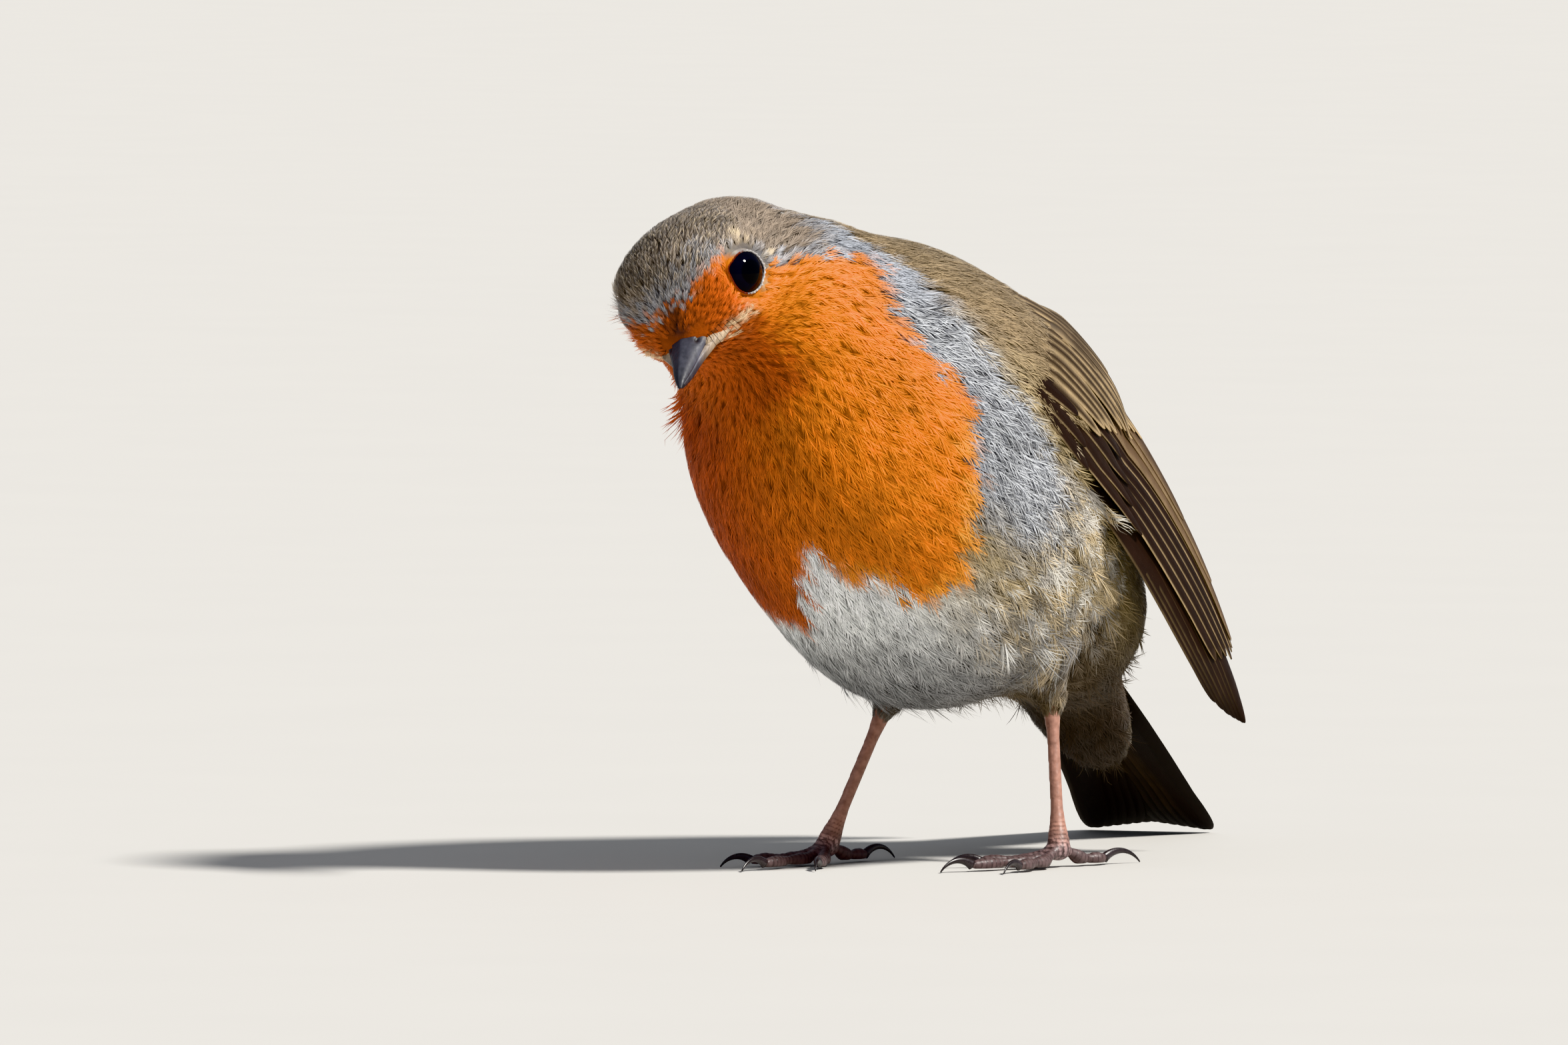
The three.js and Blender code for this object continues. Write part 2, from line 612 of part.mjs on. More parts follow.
const head = solid(surfaceOf(plumage, ...HEAD_GRID)).intersect(part(headCut, 1));
place("head", cutBy(head, ...eyeCutters, ...billCutters), "brown");

place("bill_upper", mandible(1), "horn", 0.35);
place("bill_lower", mandible(-1), "horn", 0.35);

place("tail", aboveFloor(tail()), "darkBrown");

const trunkCutter = solid(surfaceOf((p) => plumage(p) - GAP, ...TRUNK_GRID));

for (const [side, sign] of Object.entries(SIDES)) {
  place(`eye_${side}`, sphere(eyeCentre(sign), EYE_RADIUS), "eye", 0.1);

  place(`wing_${side}_shoulder`, wing(sign, 0, WING_SPLIT - WING_CUT, 7), "brown");
  place(`wing_${side}_flight`, wing(sign, WING_SPLIT + WING_CUT, 1, 10), "darkBrown");

  const leg = LEGS[side];
  const shank = unit(minus(leg.shin, [...leg.foot, FOOT_HEIGHT]));
  const thighEnd = add(leg.shin, shank, GAP);
  const thighField = (p) => taper(p, leg.thigh, add(thighEnd, shank, 1.5), ...THIGH_RADII);
  const thigh = solid(surfaceOf(thighField, ...THIGH_GRID));
  place(`thigh_${side}`, cutBy(thigh.intersect(beyond(thighEnd, shank)), trunkCutter), "belly");
  place(`tarsus_${side}`, tarsus(leg), "leg", 0.6);

  const cutters = [tarsus(leg, GAP)];
  for (const toe of TOES) {
    place(`toe_${side}_${toe.number}`, cutBy(toeSolid(side, leg, toe), ...cutters), "leg", 0.6);
    cutters.push(toeSolid(side, leg, toe, GAP));
    place(`claw_${side}_${toe.number}`, claw(side, leg, toe), "horn", 0.4);
  }
}

// The origin is under the middle of the whole bird, on the floor.
const bounds = new THREE.Box3().setFromObject(robin);
const middle = bounds.getCenter(new THREE.Vector3());
robin.position.set(-middle.x, -middle.y, -bounds.min.z);

export default robin;
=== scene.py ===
# A life-size European robin, dressed in its feathers over the packed model's own solids.
#
# Forms are worked out in millimetres in the bird's own axes: +X its left, +Y from breast to tail, +Z up, and
# the floor at Z = 0. They are the same blended round forms as the solids, and are set into the frame, in
# metres, as they are made.
from collections import namedtuple
from functools import cache
from math import cos, pi, radians, sin, sqrt

import bpy
import numpy as np
from bpy.props import FloatProperty, FloatVectorProperty, PointerProperty
from mathutils import Matrix, Vector
from mathutils.kdtree import KDTree


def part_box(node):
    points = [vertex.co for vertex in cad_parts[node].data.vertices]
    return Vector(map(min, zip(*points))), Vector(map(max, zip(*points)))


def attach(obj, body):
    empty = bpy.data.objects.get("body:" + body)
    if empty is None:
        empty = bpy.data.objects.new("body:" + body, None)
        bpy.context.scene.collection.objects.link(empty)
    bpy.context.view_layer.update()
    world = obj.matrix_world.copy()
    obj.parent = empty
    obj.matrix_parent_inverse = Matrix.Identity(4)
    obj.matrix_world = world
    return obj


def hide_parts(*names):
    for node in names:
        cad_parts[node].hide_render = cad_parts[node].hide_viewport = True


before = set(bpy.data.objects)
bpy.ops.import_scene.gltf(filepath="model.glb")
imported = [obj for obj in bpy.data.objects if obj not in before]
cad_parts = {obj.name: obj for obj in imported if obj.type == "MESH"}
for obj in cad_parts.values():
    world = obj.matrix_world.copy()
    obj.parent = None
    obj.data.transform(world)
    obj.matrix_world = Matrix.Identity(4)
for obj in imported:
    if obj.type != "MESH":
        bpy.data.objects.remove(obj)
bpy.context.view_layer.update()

bl_info = {
    "name": "Robin",
    "version": (1, 0, 0),
    "blender": (4, 5, 0),
    "location": "View3D > Sidebar > Robin",
    "description": "Dresses the solids of a robin in skin, feathers, eyes, bill and feet",
    "category": "Object",
}

MM = 0.001

# ---- sizes of the solids, in mm and degrees

HEAD_CENTRE = np.array([-3, -44.6, 73.4])
HEAD_TURN, HEAD_NOD, HEAD_TILT = 33, 35, 26
SKULL_PLACE, SKULL_SIZE = (-0.9, 0, 0.1), (10.2, 10.4, 7.9)
MUZZLE = ((4, 0, -2.3), 6.4, (7.6, 0, -1.8), 3.2)
EYE_RADIUS, LID_RADIUS = 3.5, 2.5
LID_EDGE = 0.16  # how far feathers stay from the opening
LID_PLACE, EYE_LOOK = np.array([2.15, 8.66, 0.72]), np.array([0.5, 0.86, 0.1])
ORBIT_RADIUS, ORBIT_DEPTH = 8, 0.5
# Widths of the fillets between the round forms.
HEAD_BLEND, ORBIT_BLEND, TRUNK_BLEND, NECK_BLEND, THIGH_BLEND, SHIN_BLEND = 4, 1.6, 8, 7, 2, 1.5
WING_BLEND, UNDER_TAIL_BLEND, OVER_TAIL_BLEND, DOWN_TAIL_BLEND = 1.2, 6, 5, 4
BILL_ROOT, BILL_BASE, BILL_LENGTH = 7.6, 9.3, 9.4
BILL_OVERHANG, BILL_HALF_WIDTH = 0.7, 2.6
BILL_DEPTH = {1: 1.75, -1: 1.95}
MOUTH_HEIGHT = (-1.5, -0.95)
BODY_PITCH = 36
TRUNK_CENTRE, TRUNK_SIZE = np.array([0, -1.2, 46.3]), (22, 25.4, 27)
BREAST = ((0, -14.6, 55.9), 4, (22.3, 23.3, 23.5))  # middle, pitch beyond the trunk's, half sizes
VENT = ((-0.5, 16.9, 34.9), -3, (14, 19, 13.5))
NECK = ((-1, -29.4, 69.4), (-6.3, -32.8, 72.5), 13.4, 12.1)
TAIL_ROOT = np.array([-1.5, 21, 31])
UNDER_TAIL, OVER_TAIL = (15, -2.4, (6.4, 20, 4.2)), (3, 1.2, (6.6, 15.5, 4.4))  # along, above, half sizes
DOWN_TAIL = (15, -1.2, (5, 19, 2.2))  # the soft coverts that hang under the tail's vanes
THIGH_RADII, THIGH_PAST_SHIN = (5.2, 1.9), 1.8
SHIN_RADII = (1.9, 1.15)
TAIL_LENGTH, TAIL_SWING, TAIL_TIP_HEIGHT = 58, 22, 0.4
TAIL_HALF_WIDTH, TAIL_ARCH = (4.8, 10.6), (1.4, 0.15)
WING_THICKNESS, WING_BULGE, WING_SINK, WING_ROUNDING = (3.4, 1.2), (3, 0.8), 1.4, 0.14
# The left wing's lower and upper edge, each as a curve of four points.
WING_LOWER_EDGE = ((19, -24, 61), (28.5, -12, 54.5), (21, 22, 25), (15.8, 40, 16))
WING_UPPER_EDGE = ((9, -13, 75.5), (11, 8, 73.5), (12.9, 37, 43.3), (16, 40.4, 16.8))
# The lower edge that the wing's feathers show: share of the wing's width, by the share of its length.
WING_EDGE_T = (0.2, 0.3, 0.4, 0.5, 0.6, 0.7)
WING_EDGE_V = (0.0, 0.2, 0.2, 0.18, 0.08, 0.0)
RIGHT_WING_LIFT = 6
FOOT_HEIGHT, TOE_RADIUS, TOE_HEIGHT = 3.1, 0.92, 0.73
TARSUS_RADII = (1.15, 0.82, 1.45)
CLAW_RADII, CLAW_ARC = (0.66, 0.1), (38, -50)
TOES = {1: (176, 7.6, 6.0), 2: (30, 10.2, 4.2), 3: (0, 13.6, 4.8), 4: (-27, 11.0, 4.2)}  # turn, length, claw
LEGS = {
    "left": {"foot": (13, 7.4), "shin": (9.7, 10, 20.2), "thigh": (10.3, 6.5, 28), "turn": 15},
    "right": {"foot": (-13, -6.6), "shin": (-9.6, 0.6, 19.4), "thigh": (-10.3, 1.5, 28), "turn": 4},
}
SIDES = {"left": 1, "right": -1}
COAT_LOW, COAT_HIGH, COAT_CELL, SKIN_CELL = (-34, -68, 8), (34, 52, 96), 0.8, 0.7
OUTSIDE = 50.0  # the field's value far from everything


def rgb(red, green, blue):
    """A colour given from 0 to 255, as Blender's linear values."""
    values = [c / 255 for c in (red, green, blue)]
    return tuple(c / 12.92 if c < 0.04045 else ((c + 0.055) / 1.055) ** 2.4 for c in values)


# ---- small vector helpers


def norm(v):
    return np.linalg.norm(v, axis=-1)


def unit(v):
    v = np.asarray(v, float)
    return v / np.maximum(norm(v)[..., None], 1e-12)


def mix(a, b, t):
    return a + (b - a) * t


def smooth(t):
    t = np.clip(t, 0, 1)
    return t * t * (3 - 2 * t)


def ramp(x, low, high):
    """0 at or below low, 1 at or above high, and smooth between."""
    return smooth((x - low) / (high - low))


def dots(a, b):
    return np.sum(a * b, axis=-1, keepdims=True)


def bump(points, centre, radius):
    """1 at a centre, falling smoothly to nothing."""
    return np.exp(-np.sum((points - centre) ** 2, axis=-1) / radius**2)


def tree_of(points):
    tree = KDTree(len(points))
    for index, point in enumerate(points):
        tree.insert(point, index)
    tree.balance()
    return tree


# ---- the axes of head, trunk and tail


def head_axes():
    turn, nod, tilt = radians(HEAD_TURN), radians(HEAD_NOD), radians(HEAD_TILT)
    forward = np.array([sin(turn) * cos(nod), -cos(turn) * cos(nod), -sin(nod)])
    level = np.array([cos(turn), sin(turn), 0])
    left = level * cos(tilt) + np.cross(forward, level) * sin(tilt)
    return np.array([forward, left, np.cross(forward, left)])


def tail_axes():
    pitch = np.arcsin((TAIL_ROOT[2] - TAIL_TIP_HEIGHT) / TAIL_LENGTH)
    swing = radians(TAIL_SWING)
    along = np.array([-sin(swing) * cos(pitch), cos(swing) * cos(pitch), -sin(pitch)])
    left = np.array([cos(swing), sin(swing), 0])
    return np.array([along, left, np.cross(left, along)])


def pitched(angle):
    """Lateral, backward and dorsal axes of a form that falls by an angle towards the tail."""
    c, s = cos(radians(angle)), sin(radians(angle))
    return np.array([[1, 0, 0], [0, c, -s], [0, s, c]])


HEAD_AXES = head_axes()
TAIL_AXES = tail_axes()
BODY_AXES = pitched(BODY_PITCH)
LOOK = unit(EYE_LOOK)


def on_head(forward, left, up):
    return HEAD_CENTRE + np.stack(np.broadcast_arrays(forward, left, up), -1) @ HEAD_AXES


def on_tail(along, above):
    return TAIL_ROOT + along * TAIL_AXES[0] + above * TAIL_AXES[2]


def on_look(side, distance):
    """A place on an eye's own axis, this far out from the middle of the lids."""
    forward, out, up = LID_PLACE + LOOK * distance
    return on_head(forward, side * out, up)


def look_axis(side):
    return unit(on_look(side, 1) - on_look(side, 0))


def eye_centre(side):
    return on_look(side, -sqrt(EYE_RADIUS**2 - LID_RADIUS**2))


def node_centre(name):
    low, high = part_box(name)
    return (np.array(low) + np.array(high)) / 2


def from_head(points):
    return norm(points - HEAD_CENTRE)


def from_bill(points):
    return norm(points - on_head(BILL_BASE, 0, -1.2))


def head_place(points):
    """How far points lie forward, left and up from the middle of the head."""
    return np.moveaxis((points - HEAD_CENTRE) @ HEAD_AXES.T, -1, 0)


def body_place(points):
    """The angle round the trunk, 0 below and 180 above, and the distances back and up from its middle."""
    lateral, back, dorsal = np.moveaxis((points - TRUNK_CENTRE) @ BODY_AXES.T, -1, 0)
    return np.degrees(np.arctan2(lateral, -dorsal)), back, dorsal


def eye_place(points, side):
    """How far points lie out from an eye's axis, as vectors and as lengths, and how high along it."""
    axis = look_axis(side)
    out = points - on_look(side, 0)
    height = out @ axis
    out = out - height[:, None] * axis
    return out, norm(out), height


def shank_of(leg):
    """The unit direction up a shank."""
    return unit(np.array(leg["shin"]) - np.array([*leg["foot"], FOOT_HEIGHT]))


# The frame's origin is under the middle of the whole bird, so the eyes' own nodes say how far it is shifted.
SHIFT = np.mean([node_centre(f"eye_{name}") / MM - eye_centre(side) for name, side in SIDES.items()], axis=0)


def in_frame(points):
    return (np.asarray(points) + SHIFT) * MM


# ---- the field of the plumage's outer surface


def ellipsoid(p, centre, axes, size):
    q = (p - np.asarray(centre)) @ np.asarray(axes).T / np.asarray(size)
    near = norm(q)
    return near * (near - 1) / np.maximum(norm(q / np.asarray(size)), 1e-9)


def taper(p, a, b, radius_a, radius_b):
    a = np.asarray(a, float)
    line = np.asarray(b, float) - a
    t = np.clip((p - a) @ line / (line @ line), 0, 1)
    return norm(p - (a + t[..., None] * line)) - mix(radius_a, radius_b, t)


def blend(a, b, width):
    h = np.clip(0.5 + 0.5 * (b - a) / width, 0, 1)
    return mix(b, a, h) - width * h * (1 - h)


def head_field(p):
    d = ellipsoid(p, on_head(*SKULL_PLACE), HEAD_AXES, SKULL_SIZE)
    start, start_radius, end, end_radius = MUZZLE
    d = blend(d, taper(p, on_head(*start), on_head(*end), start_radius, end_radius), HEAD_BLEND)
    for side in SIDES.values():
        dish = norm(p - on_look(side, ORBIT_RADIUS - ORBIT_DEPTH)) - ORBIT_RADIUS
        d = -blend(-d, dish, ORBIT_BLEND)
    return d


def tail_form(p, along, above, size):
    return ellipsoid(p, on_tail(along, above), TAIL_AXES[[1, 0, 2]], size)


def plumage(p):
    d = ellipsoid(p, TRUNK_CENTRE, BODY_AXES, TRUNK_SIZE)
    for centre, pitch, size in (BREAST, VENT):
        d = blend(d, ellipsoid(p, centre, pitched(BODY_PITCH + pitch), size), TRUNK_BLEND)
    d = blend(d, taper(p, *NECK), NECK_BLEND)
    d = blend(d, tail_form(p, *UNDER_TAIL), UNDER_TAIL_BLEND)
    d = blend(d, tail_form(p, *OVER_TAIL), OVER_TAIL_BLEND)
    return blend(d, head_field(p), HEAD_BLEND)


def thigh_field(p, leg):
    return taper(p, leg["thigh"], leg["shin"] + THIGH_PAST_SHIN * shank_of(leg), *THIGH_RADII)


class Volume:
    """A field's values on a regular grid, and the field and its slope between the grid's points."""

    def __init__(self, low, high, cell):
        self.low = np.asarray(low, float)
        self.cell = cell
        self.count = np.ceil((np.asarray(high) - self.low) / cell).astype(int) + 1
        self.values = np.full(self.count, OUTSIDE)
        self.slopes = None

    def window(self, low, high):
        """The part of the grid inside a box, as slices, and its points."""
        start = np.clip(np.floor((low - self.low) / self.cell).astype(int), 0, self.count)
        stop = np.clip(np.ceil((high - self.low) / self.cell).astype(int) + 1, 0, self.count)
        axes = [self.low[i] + self.cell * np.arange(start[i], stop[i]) for i in range(3)]
        return tuple(map(slice, start, stop)), np.stack(np.meshgrid(*axes, indexing="ij"), -1)

    def points(self):
        return self.window(self.low, self.low + self.cell * self.count)[1]

    def add(self, field, ends, margin, width):
        """Joins a field to what is here round some points, with a fillet of this width."""
        part, points = self.window(np.min(ends, 0) - margin, np.max(ends, 0) + margin)
        self.values[part] = blend(self.values[part], field(points), width)
        self.slopes = None

    def at(self, points):
        """The field and its slope at any points."""
        if self.slopes is None:
            slopes = np.gradient(self.values, self.cell)
            self.slopes = np.stack([self.values, *slopes], -1).astype(np.float32).reshape(-1, 4)
        place = np.clip((points - self.low) / self.cell, 0, self.count - 1.001)
        base = place.astype(int)
        part = (place - base).astype(np.float32)
        total = 0
        for step in CORNERS:
            share = np.prod(np.where(step, part, 1 - part), axis=-1, keepdims=True)
            i, j, k = np.moveaxis(base + step, -1, 0)
            total = total + share * self.slopes[(i * self.count[1] + j) * self.count[2] + k]
        return total[..., 0], total[..., 1:]

    def settle(self, points, level, rounds=2):
        """Moves points onto the surface where the field has this level."""
        for _ in range(rounds):
            value, slope = self.at(points)
            away = (level - value) / np.maximum(np.sum(slope * slope, -1), 0.1)
            points = points + slope * np.clip(away, -2, 2)[..., None]
        return points


CORNERS = np.array([[i & 1, i >> 1 & 1, i >> 2 & 1] for i in range(8)])
EDGES = [(i, j) for i in range(8) for j in range(i + 1, 8) if np.abs(CORNERS[i] - CORNERS[j]).sum() == 1]


@cache
def plumage_volume():
    """The outer surface of the coat over head, body and thighs."""
    volume = Volume(COAT_LOW, COAT_HIGH, COAT_CELL)
    volume.values = plumage(volume.points())
    for leg in LEGS.values():
        volume.add(lambda p: thigh_field(p, leg), (leg["shin"], leg["thigh"]), 8, THIGH_BLEND)
    return volume


@cache
def dressed_volume():
    """The same with the folded wings, on which the coat lies where it covers their edges."""
    volume = Volume(COAT_LOW, COAT_HIGH, COAT_CELL)
    volume.values = plumage_volume().values.copy()
    for side in SIDES.values():
        t, v = sheet(121, 41)
        v = np.maximum(v, np.interp(t, WING_EDGE_T, WING_EDGE_V))
        middle = wing_surface(side).place(t, v, 0).reshape(-1, 3)
        half = wing_half(t, v)
        tree = tree_of(middle)
        part, points = volume.window(middle.min(0) - 3, middle.max(0) + 3)
        flat = points.reshape(-1, 3)
        distance = np.full(len(flat), 9.0)
        for index in np.flatnonzero(np.abs(volume.values[part].ravel()) < 5):
            _, nearest, gap = tree.find(flat[index])
            distance[index] = gap - half.flat[nearest]
        volume.values[part] = blend(volume.values[part], distance.reshape(points.shape[:3]), WING_BLEND)
    volume.add(lambda p: tail_form(p, *DOWN_TAIL), [on_tail(*DOWN_TAIL[:2])], 24, DOWN_TAIL_BLEND)
    for leg in LEGS.values():
        shin, shank = np.array(leg["shin"]), shank_of(leg)
        end = shin - 1.4 * shank
        volume.add(lambda p: taper(p, shin + shank, end, *SHIN_RADII), (end, shin + 1), 5, SHIN_BLEND)
    return volume


def wing_half(t, v):
    thick = mix(*WING_THICKNESS, np.sqrt(t))
    return thick / 2 * (0.3 + 0.7 * np.sqrt(4 * v * (1 - v)))


def sheet(rows, columns):
    """Even shares along and across a patch."""
    return np.meshgrid(np.linspace(0, 1, rows), np.linspace(0, 1, columns), indexing="ij")


# ---- the surface that a folded wing lies in


def bezier(points, t):
    a, b, c, d = (np.asarray(p, float) for p in points)
    t = np.asarray(t)[..., None]
    place = (1 - t) ** 3 * a + 3 * t * (1 - t) ** 2 * b + 3 * t**2 * (1 - t) * c + t**3 * d
    along = (1 - t) ** 2 * (b - a) + 2 * t * (1 - t) * (c - b) + t**2 * (d - c)
    return place, unit(along)


class Surface:
    """A smooth patch in t (along) and v (across), kept as a table, with places at any height above it."""

    def __init__(self, points, side):
        self.points = points
        along = np.gradient(points, axis=0)
        across = np.gradient(points, axis=1)
        self.normals = unit(np.cross(along, across) * side)
        self.widths = norm(np.diff(points, axis=1)).sum(1)
        self.length = norm(np.diff(points[:, points.shape[1] // 2], axis=0)).sum()

    def place(self, t, v, height):
        rows, columns = self.points.shape[:2]
        t, v, height = np.broadcast_arrays(t, v, height)
        a, b = t * (rows - 1), v * (columns - 1)
        i = np.clip(np.floor(a), 0, rows - 2).astype(int)
        j = np.clip(np.floor(b), 0, columns - 2).astype(int)
        a, b = (a - i)[..., None], (b - j)[..., None]

        def between(table):
            low = mix(table[i, j], table[i, j + 1], b)
            return mix(low, mix(table[i + 1, j], table[i + 1, j + 1], b), a)

        return between(self.points) + unit(between(self.normals)) * height[..., None]

    def width(self, t):
        return np.interp(t, np.linspace(0, 1, len(self.widths)), self.widths)


@cache
def wing_surface(side):
    lift = 0 if side > 0 else RIGHT_WING_LIFT
    flip = np.array([side, 1, 1])
    raised = np.zeros((4, 3))
    raised[2:, 2] = 0.6 * lift, lift
    t = np.linspace(0, 1, 121)
    low, low_along = bezier((WING_LOWER_EDGE + raised) * flip, t)
    high, high_along = bezier((WING_UPPER_EDGE + raised) * flip, t)
    narrow = 0.5 * (1 - np.sqrt(1 - np.maximum(0, 1 - t / WING_ROUNDING) ** 2 * 0.8))[:, None]
    low, high = mix(low, high, narrow), mix(high, low, narrow)
    out = unit(np.cross(unit(low_along + high_along), high - low) * side)[:, None]
    v = np.linspace(0, 1, 41)[None, :, None]
    points = mix(low[:, None], high[:, None], v)
    points = points + out * (mix(*WING_BULGE, t)[:, None, None] * 4 * v * (1 - v))
    sink = mix(WING_SINK, 0, smooth(t * 4))[:, None]
    for _ in range(4):
        inside = np.maximum(0, -sink - plumage(points))
        points = points + out * inside[..., None]
    return Surface(points, side)


@cache
def tail_surface():
    t = np.linspace(0, 1, 61)[:, None]
    v = np.linspace(-1, 1, 31)[None, :]
    half = mix(*TAIL_HALF_WIDTH, t**0.8)
    arch = mix(*TAIL_ARCH, t) * (1 - v * v)
    points = TAIL_ROOT + TAIL_AXES[0] * (TAIL_LENGTH * t + 0 * v)[..., None]
    points = points + TAIL_AXES[1] * (half * v)[..., None] + TAIL_AXES[2] * arch[..., None]
    return Surface(points, -1)


# ---- markings, shared by skin and coat

# Each edge is told by angles round the body, 0 below, 90 at the side and 180 above, and the distance back
# from the trunk's middle at which the colour changes there.
BIB_EDGE_ANGLES = (-34, -13, -2, 1, 7, 14, 19, 25, 31, 34, 48, 60, 70, 76, 91, 98, 106, 144)
BIB_EDGE_BACK = (
    -8.5, -9.8, -10, -15.2, -20, -23, -17.5, -15.4, -13.7, -8, -7.5, -13, -16, -20, -24.4, -31, -35.5, -38.5,
)
BAND_EDGE_ANGLES = (60, 80, 94, 97, 103, 115, 133, 149, 163, 180)
BAND_EDGE_BACK = (-4, 0, -4, -12, -22, -29, -31.5, -38.5, -42, -45)
# Where the orange stops above, by the distance back from the trunk's middle.
CHEEK_TOP_BACK = (-44.4, -41.6, -39.4, -37)
CHEEK_TOP_ANGLES = (125, 129, 133, 134)
# On the head: angles round it from the bill, and the height at which orange gives way to grey and brown.
FACE_EDGE_ANGLES = (0, 18, 42, 68, 78, 84, 90, 103, 108, 112, 115, 118, 140)
FACE_EDGE_UP = (3.4, 3.9, 4.7, 4.7, 3.4, 0.7, -1.2, -3.4, -6.4, -8.8, -10.8, -11.8, -14.5)
# How far the grey fades above that edge.
GREY_ANGLES, GREY_REACH = (0, 60, 90, 120), (3.4, 2.4, 5, 8)

# Pale tufts round the eye and behind the corner of the mouth: place on the head, and size.
CREAM_PLACES = (
    (-1.0, 8.7, 3.9, 0.6), (-2.0, 9.6, 2.3, 0.7), (1.2, 8.3, 4.2, 0.6), (-1.2, 10.0, -1.3, 0.8),
    (1.2, 9.2, -2.6, 0.7), (8.0, 4.6, -2.5, 0.9), (7.2, 5.6, -2.4, 0.9), (6.4, 6.6, -2.5, 0.9),
    (5.5, 7.4, -2.9, 0.8),
)
LORE_SPOT, LORE_SIZE = (9.5, 0.1, 2.2), 1.7  # a dark spot over the root of the bill

PALETTE = {
    "bib": ("Breast and face", rgb(248, 154, 54)),
    # A darker copy of the breast's orange: a little is mixed in everywhere for its deeper orange, and more as
    # painted shade on the bird's right side, the far side of the face and round the lids.
    "bib_shade": ("Darker orange", rgb(168, 54, 9)),
    "gold": ("Paler tips at the edge of the breast", rgb(246, 186, 92)),
    "band": ("Grey band beside the breast", rgb(158, 162, 170)),
    "crown": ("Crown and nape", rgb(160, 144, 127)),
    "back": ("Back", rgb(142, 123, 95)),
    "belly": ("Belly", rgb(250, 251, 248)),
    "cream": ("Pale tufts of the face and flanks", rgb(236, 214, 176)),
    "flank": ("Flanks", rgb(160, 143, 110)),
    # Partly painted shade: the buff under the tail is given darker than it is, for the shade there.
    "vent": ("Under the tail", rgb(118, 104, 84)),
    "rump": ("Rump", rgb(126, 108, 84)),
    # The grey of the feather bases, also used as painted shade low on the underside.
    "down": ("Feather bases", rgb(84, 84, 88)),
    "wing": ("Wing feathers", rgb(104, 84, 64)),
    # Also used as painted shade on the coat towards and under the tail.
    "wing_dark": ("Inner webs of wing feathers", rgb(36, 23, 18)),
    "wing_edge": ("Pale edges of wing feathers", rgb(204, 178, 138)),
    # Partly painted shade: the brown tail feathers are given nearly black, for the deep shade they lie in.
    "tail": ("Tail feathers", rgb(28, 22, 21)),
    "bill": ("Bill", rgb(60, 61, 70)),
    "gape": ("Corner of the mouth", rgb(182, 162, 138)),
    "leg": ("Shanks", rgb(156, 116, 102)),
    "toe": ("Toes", rgb(80, 66, 66)),
    "claw": ("Claws", rgb(40, 34, 36)),
    # Partly painted reflection: the eyes' dark brown-black is tinted blue, for a sky reflection.
    "eye": ("Eyes", rgb(6, 6, 13)),
    "lid": ("Eyelids", rgb(176, 172, 170)),
    "floor": ("Floor", rgb(196, 194, 190)),
}


def colour(name):
    return np.array(getattr(bpy.context.scene.robin_colours, name))


def tint(base, name, share):
    """Mixes a named colour over others by a share at each point."""
    return mix(base, colour(name), np.clip(share, 0, 1)[..., None])


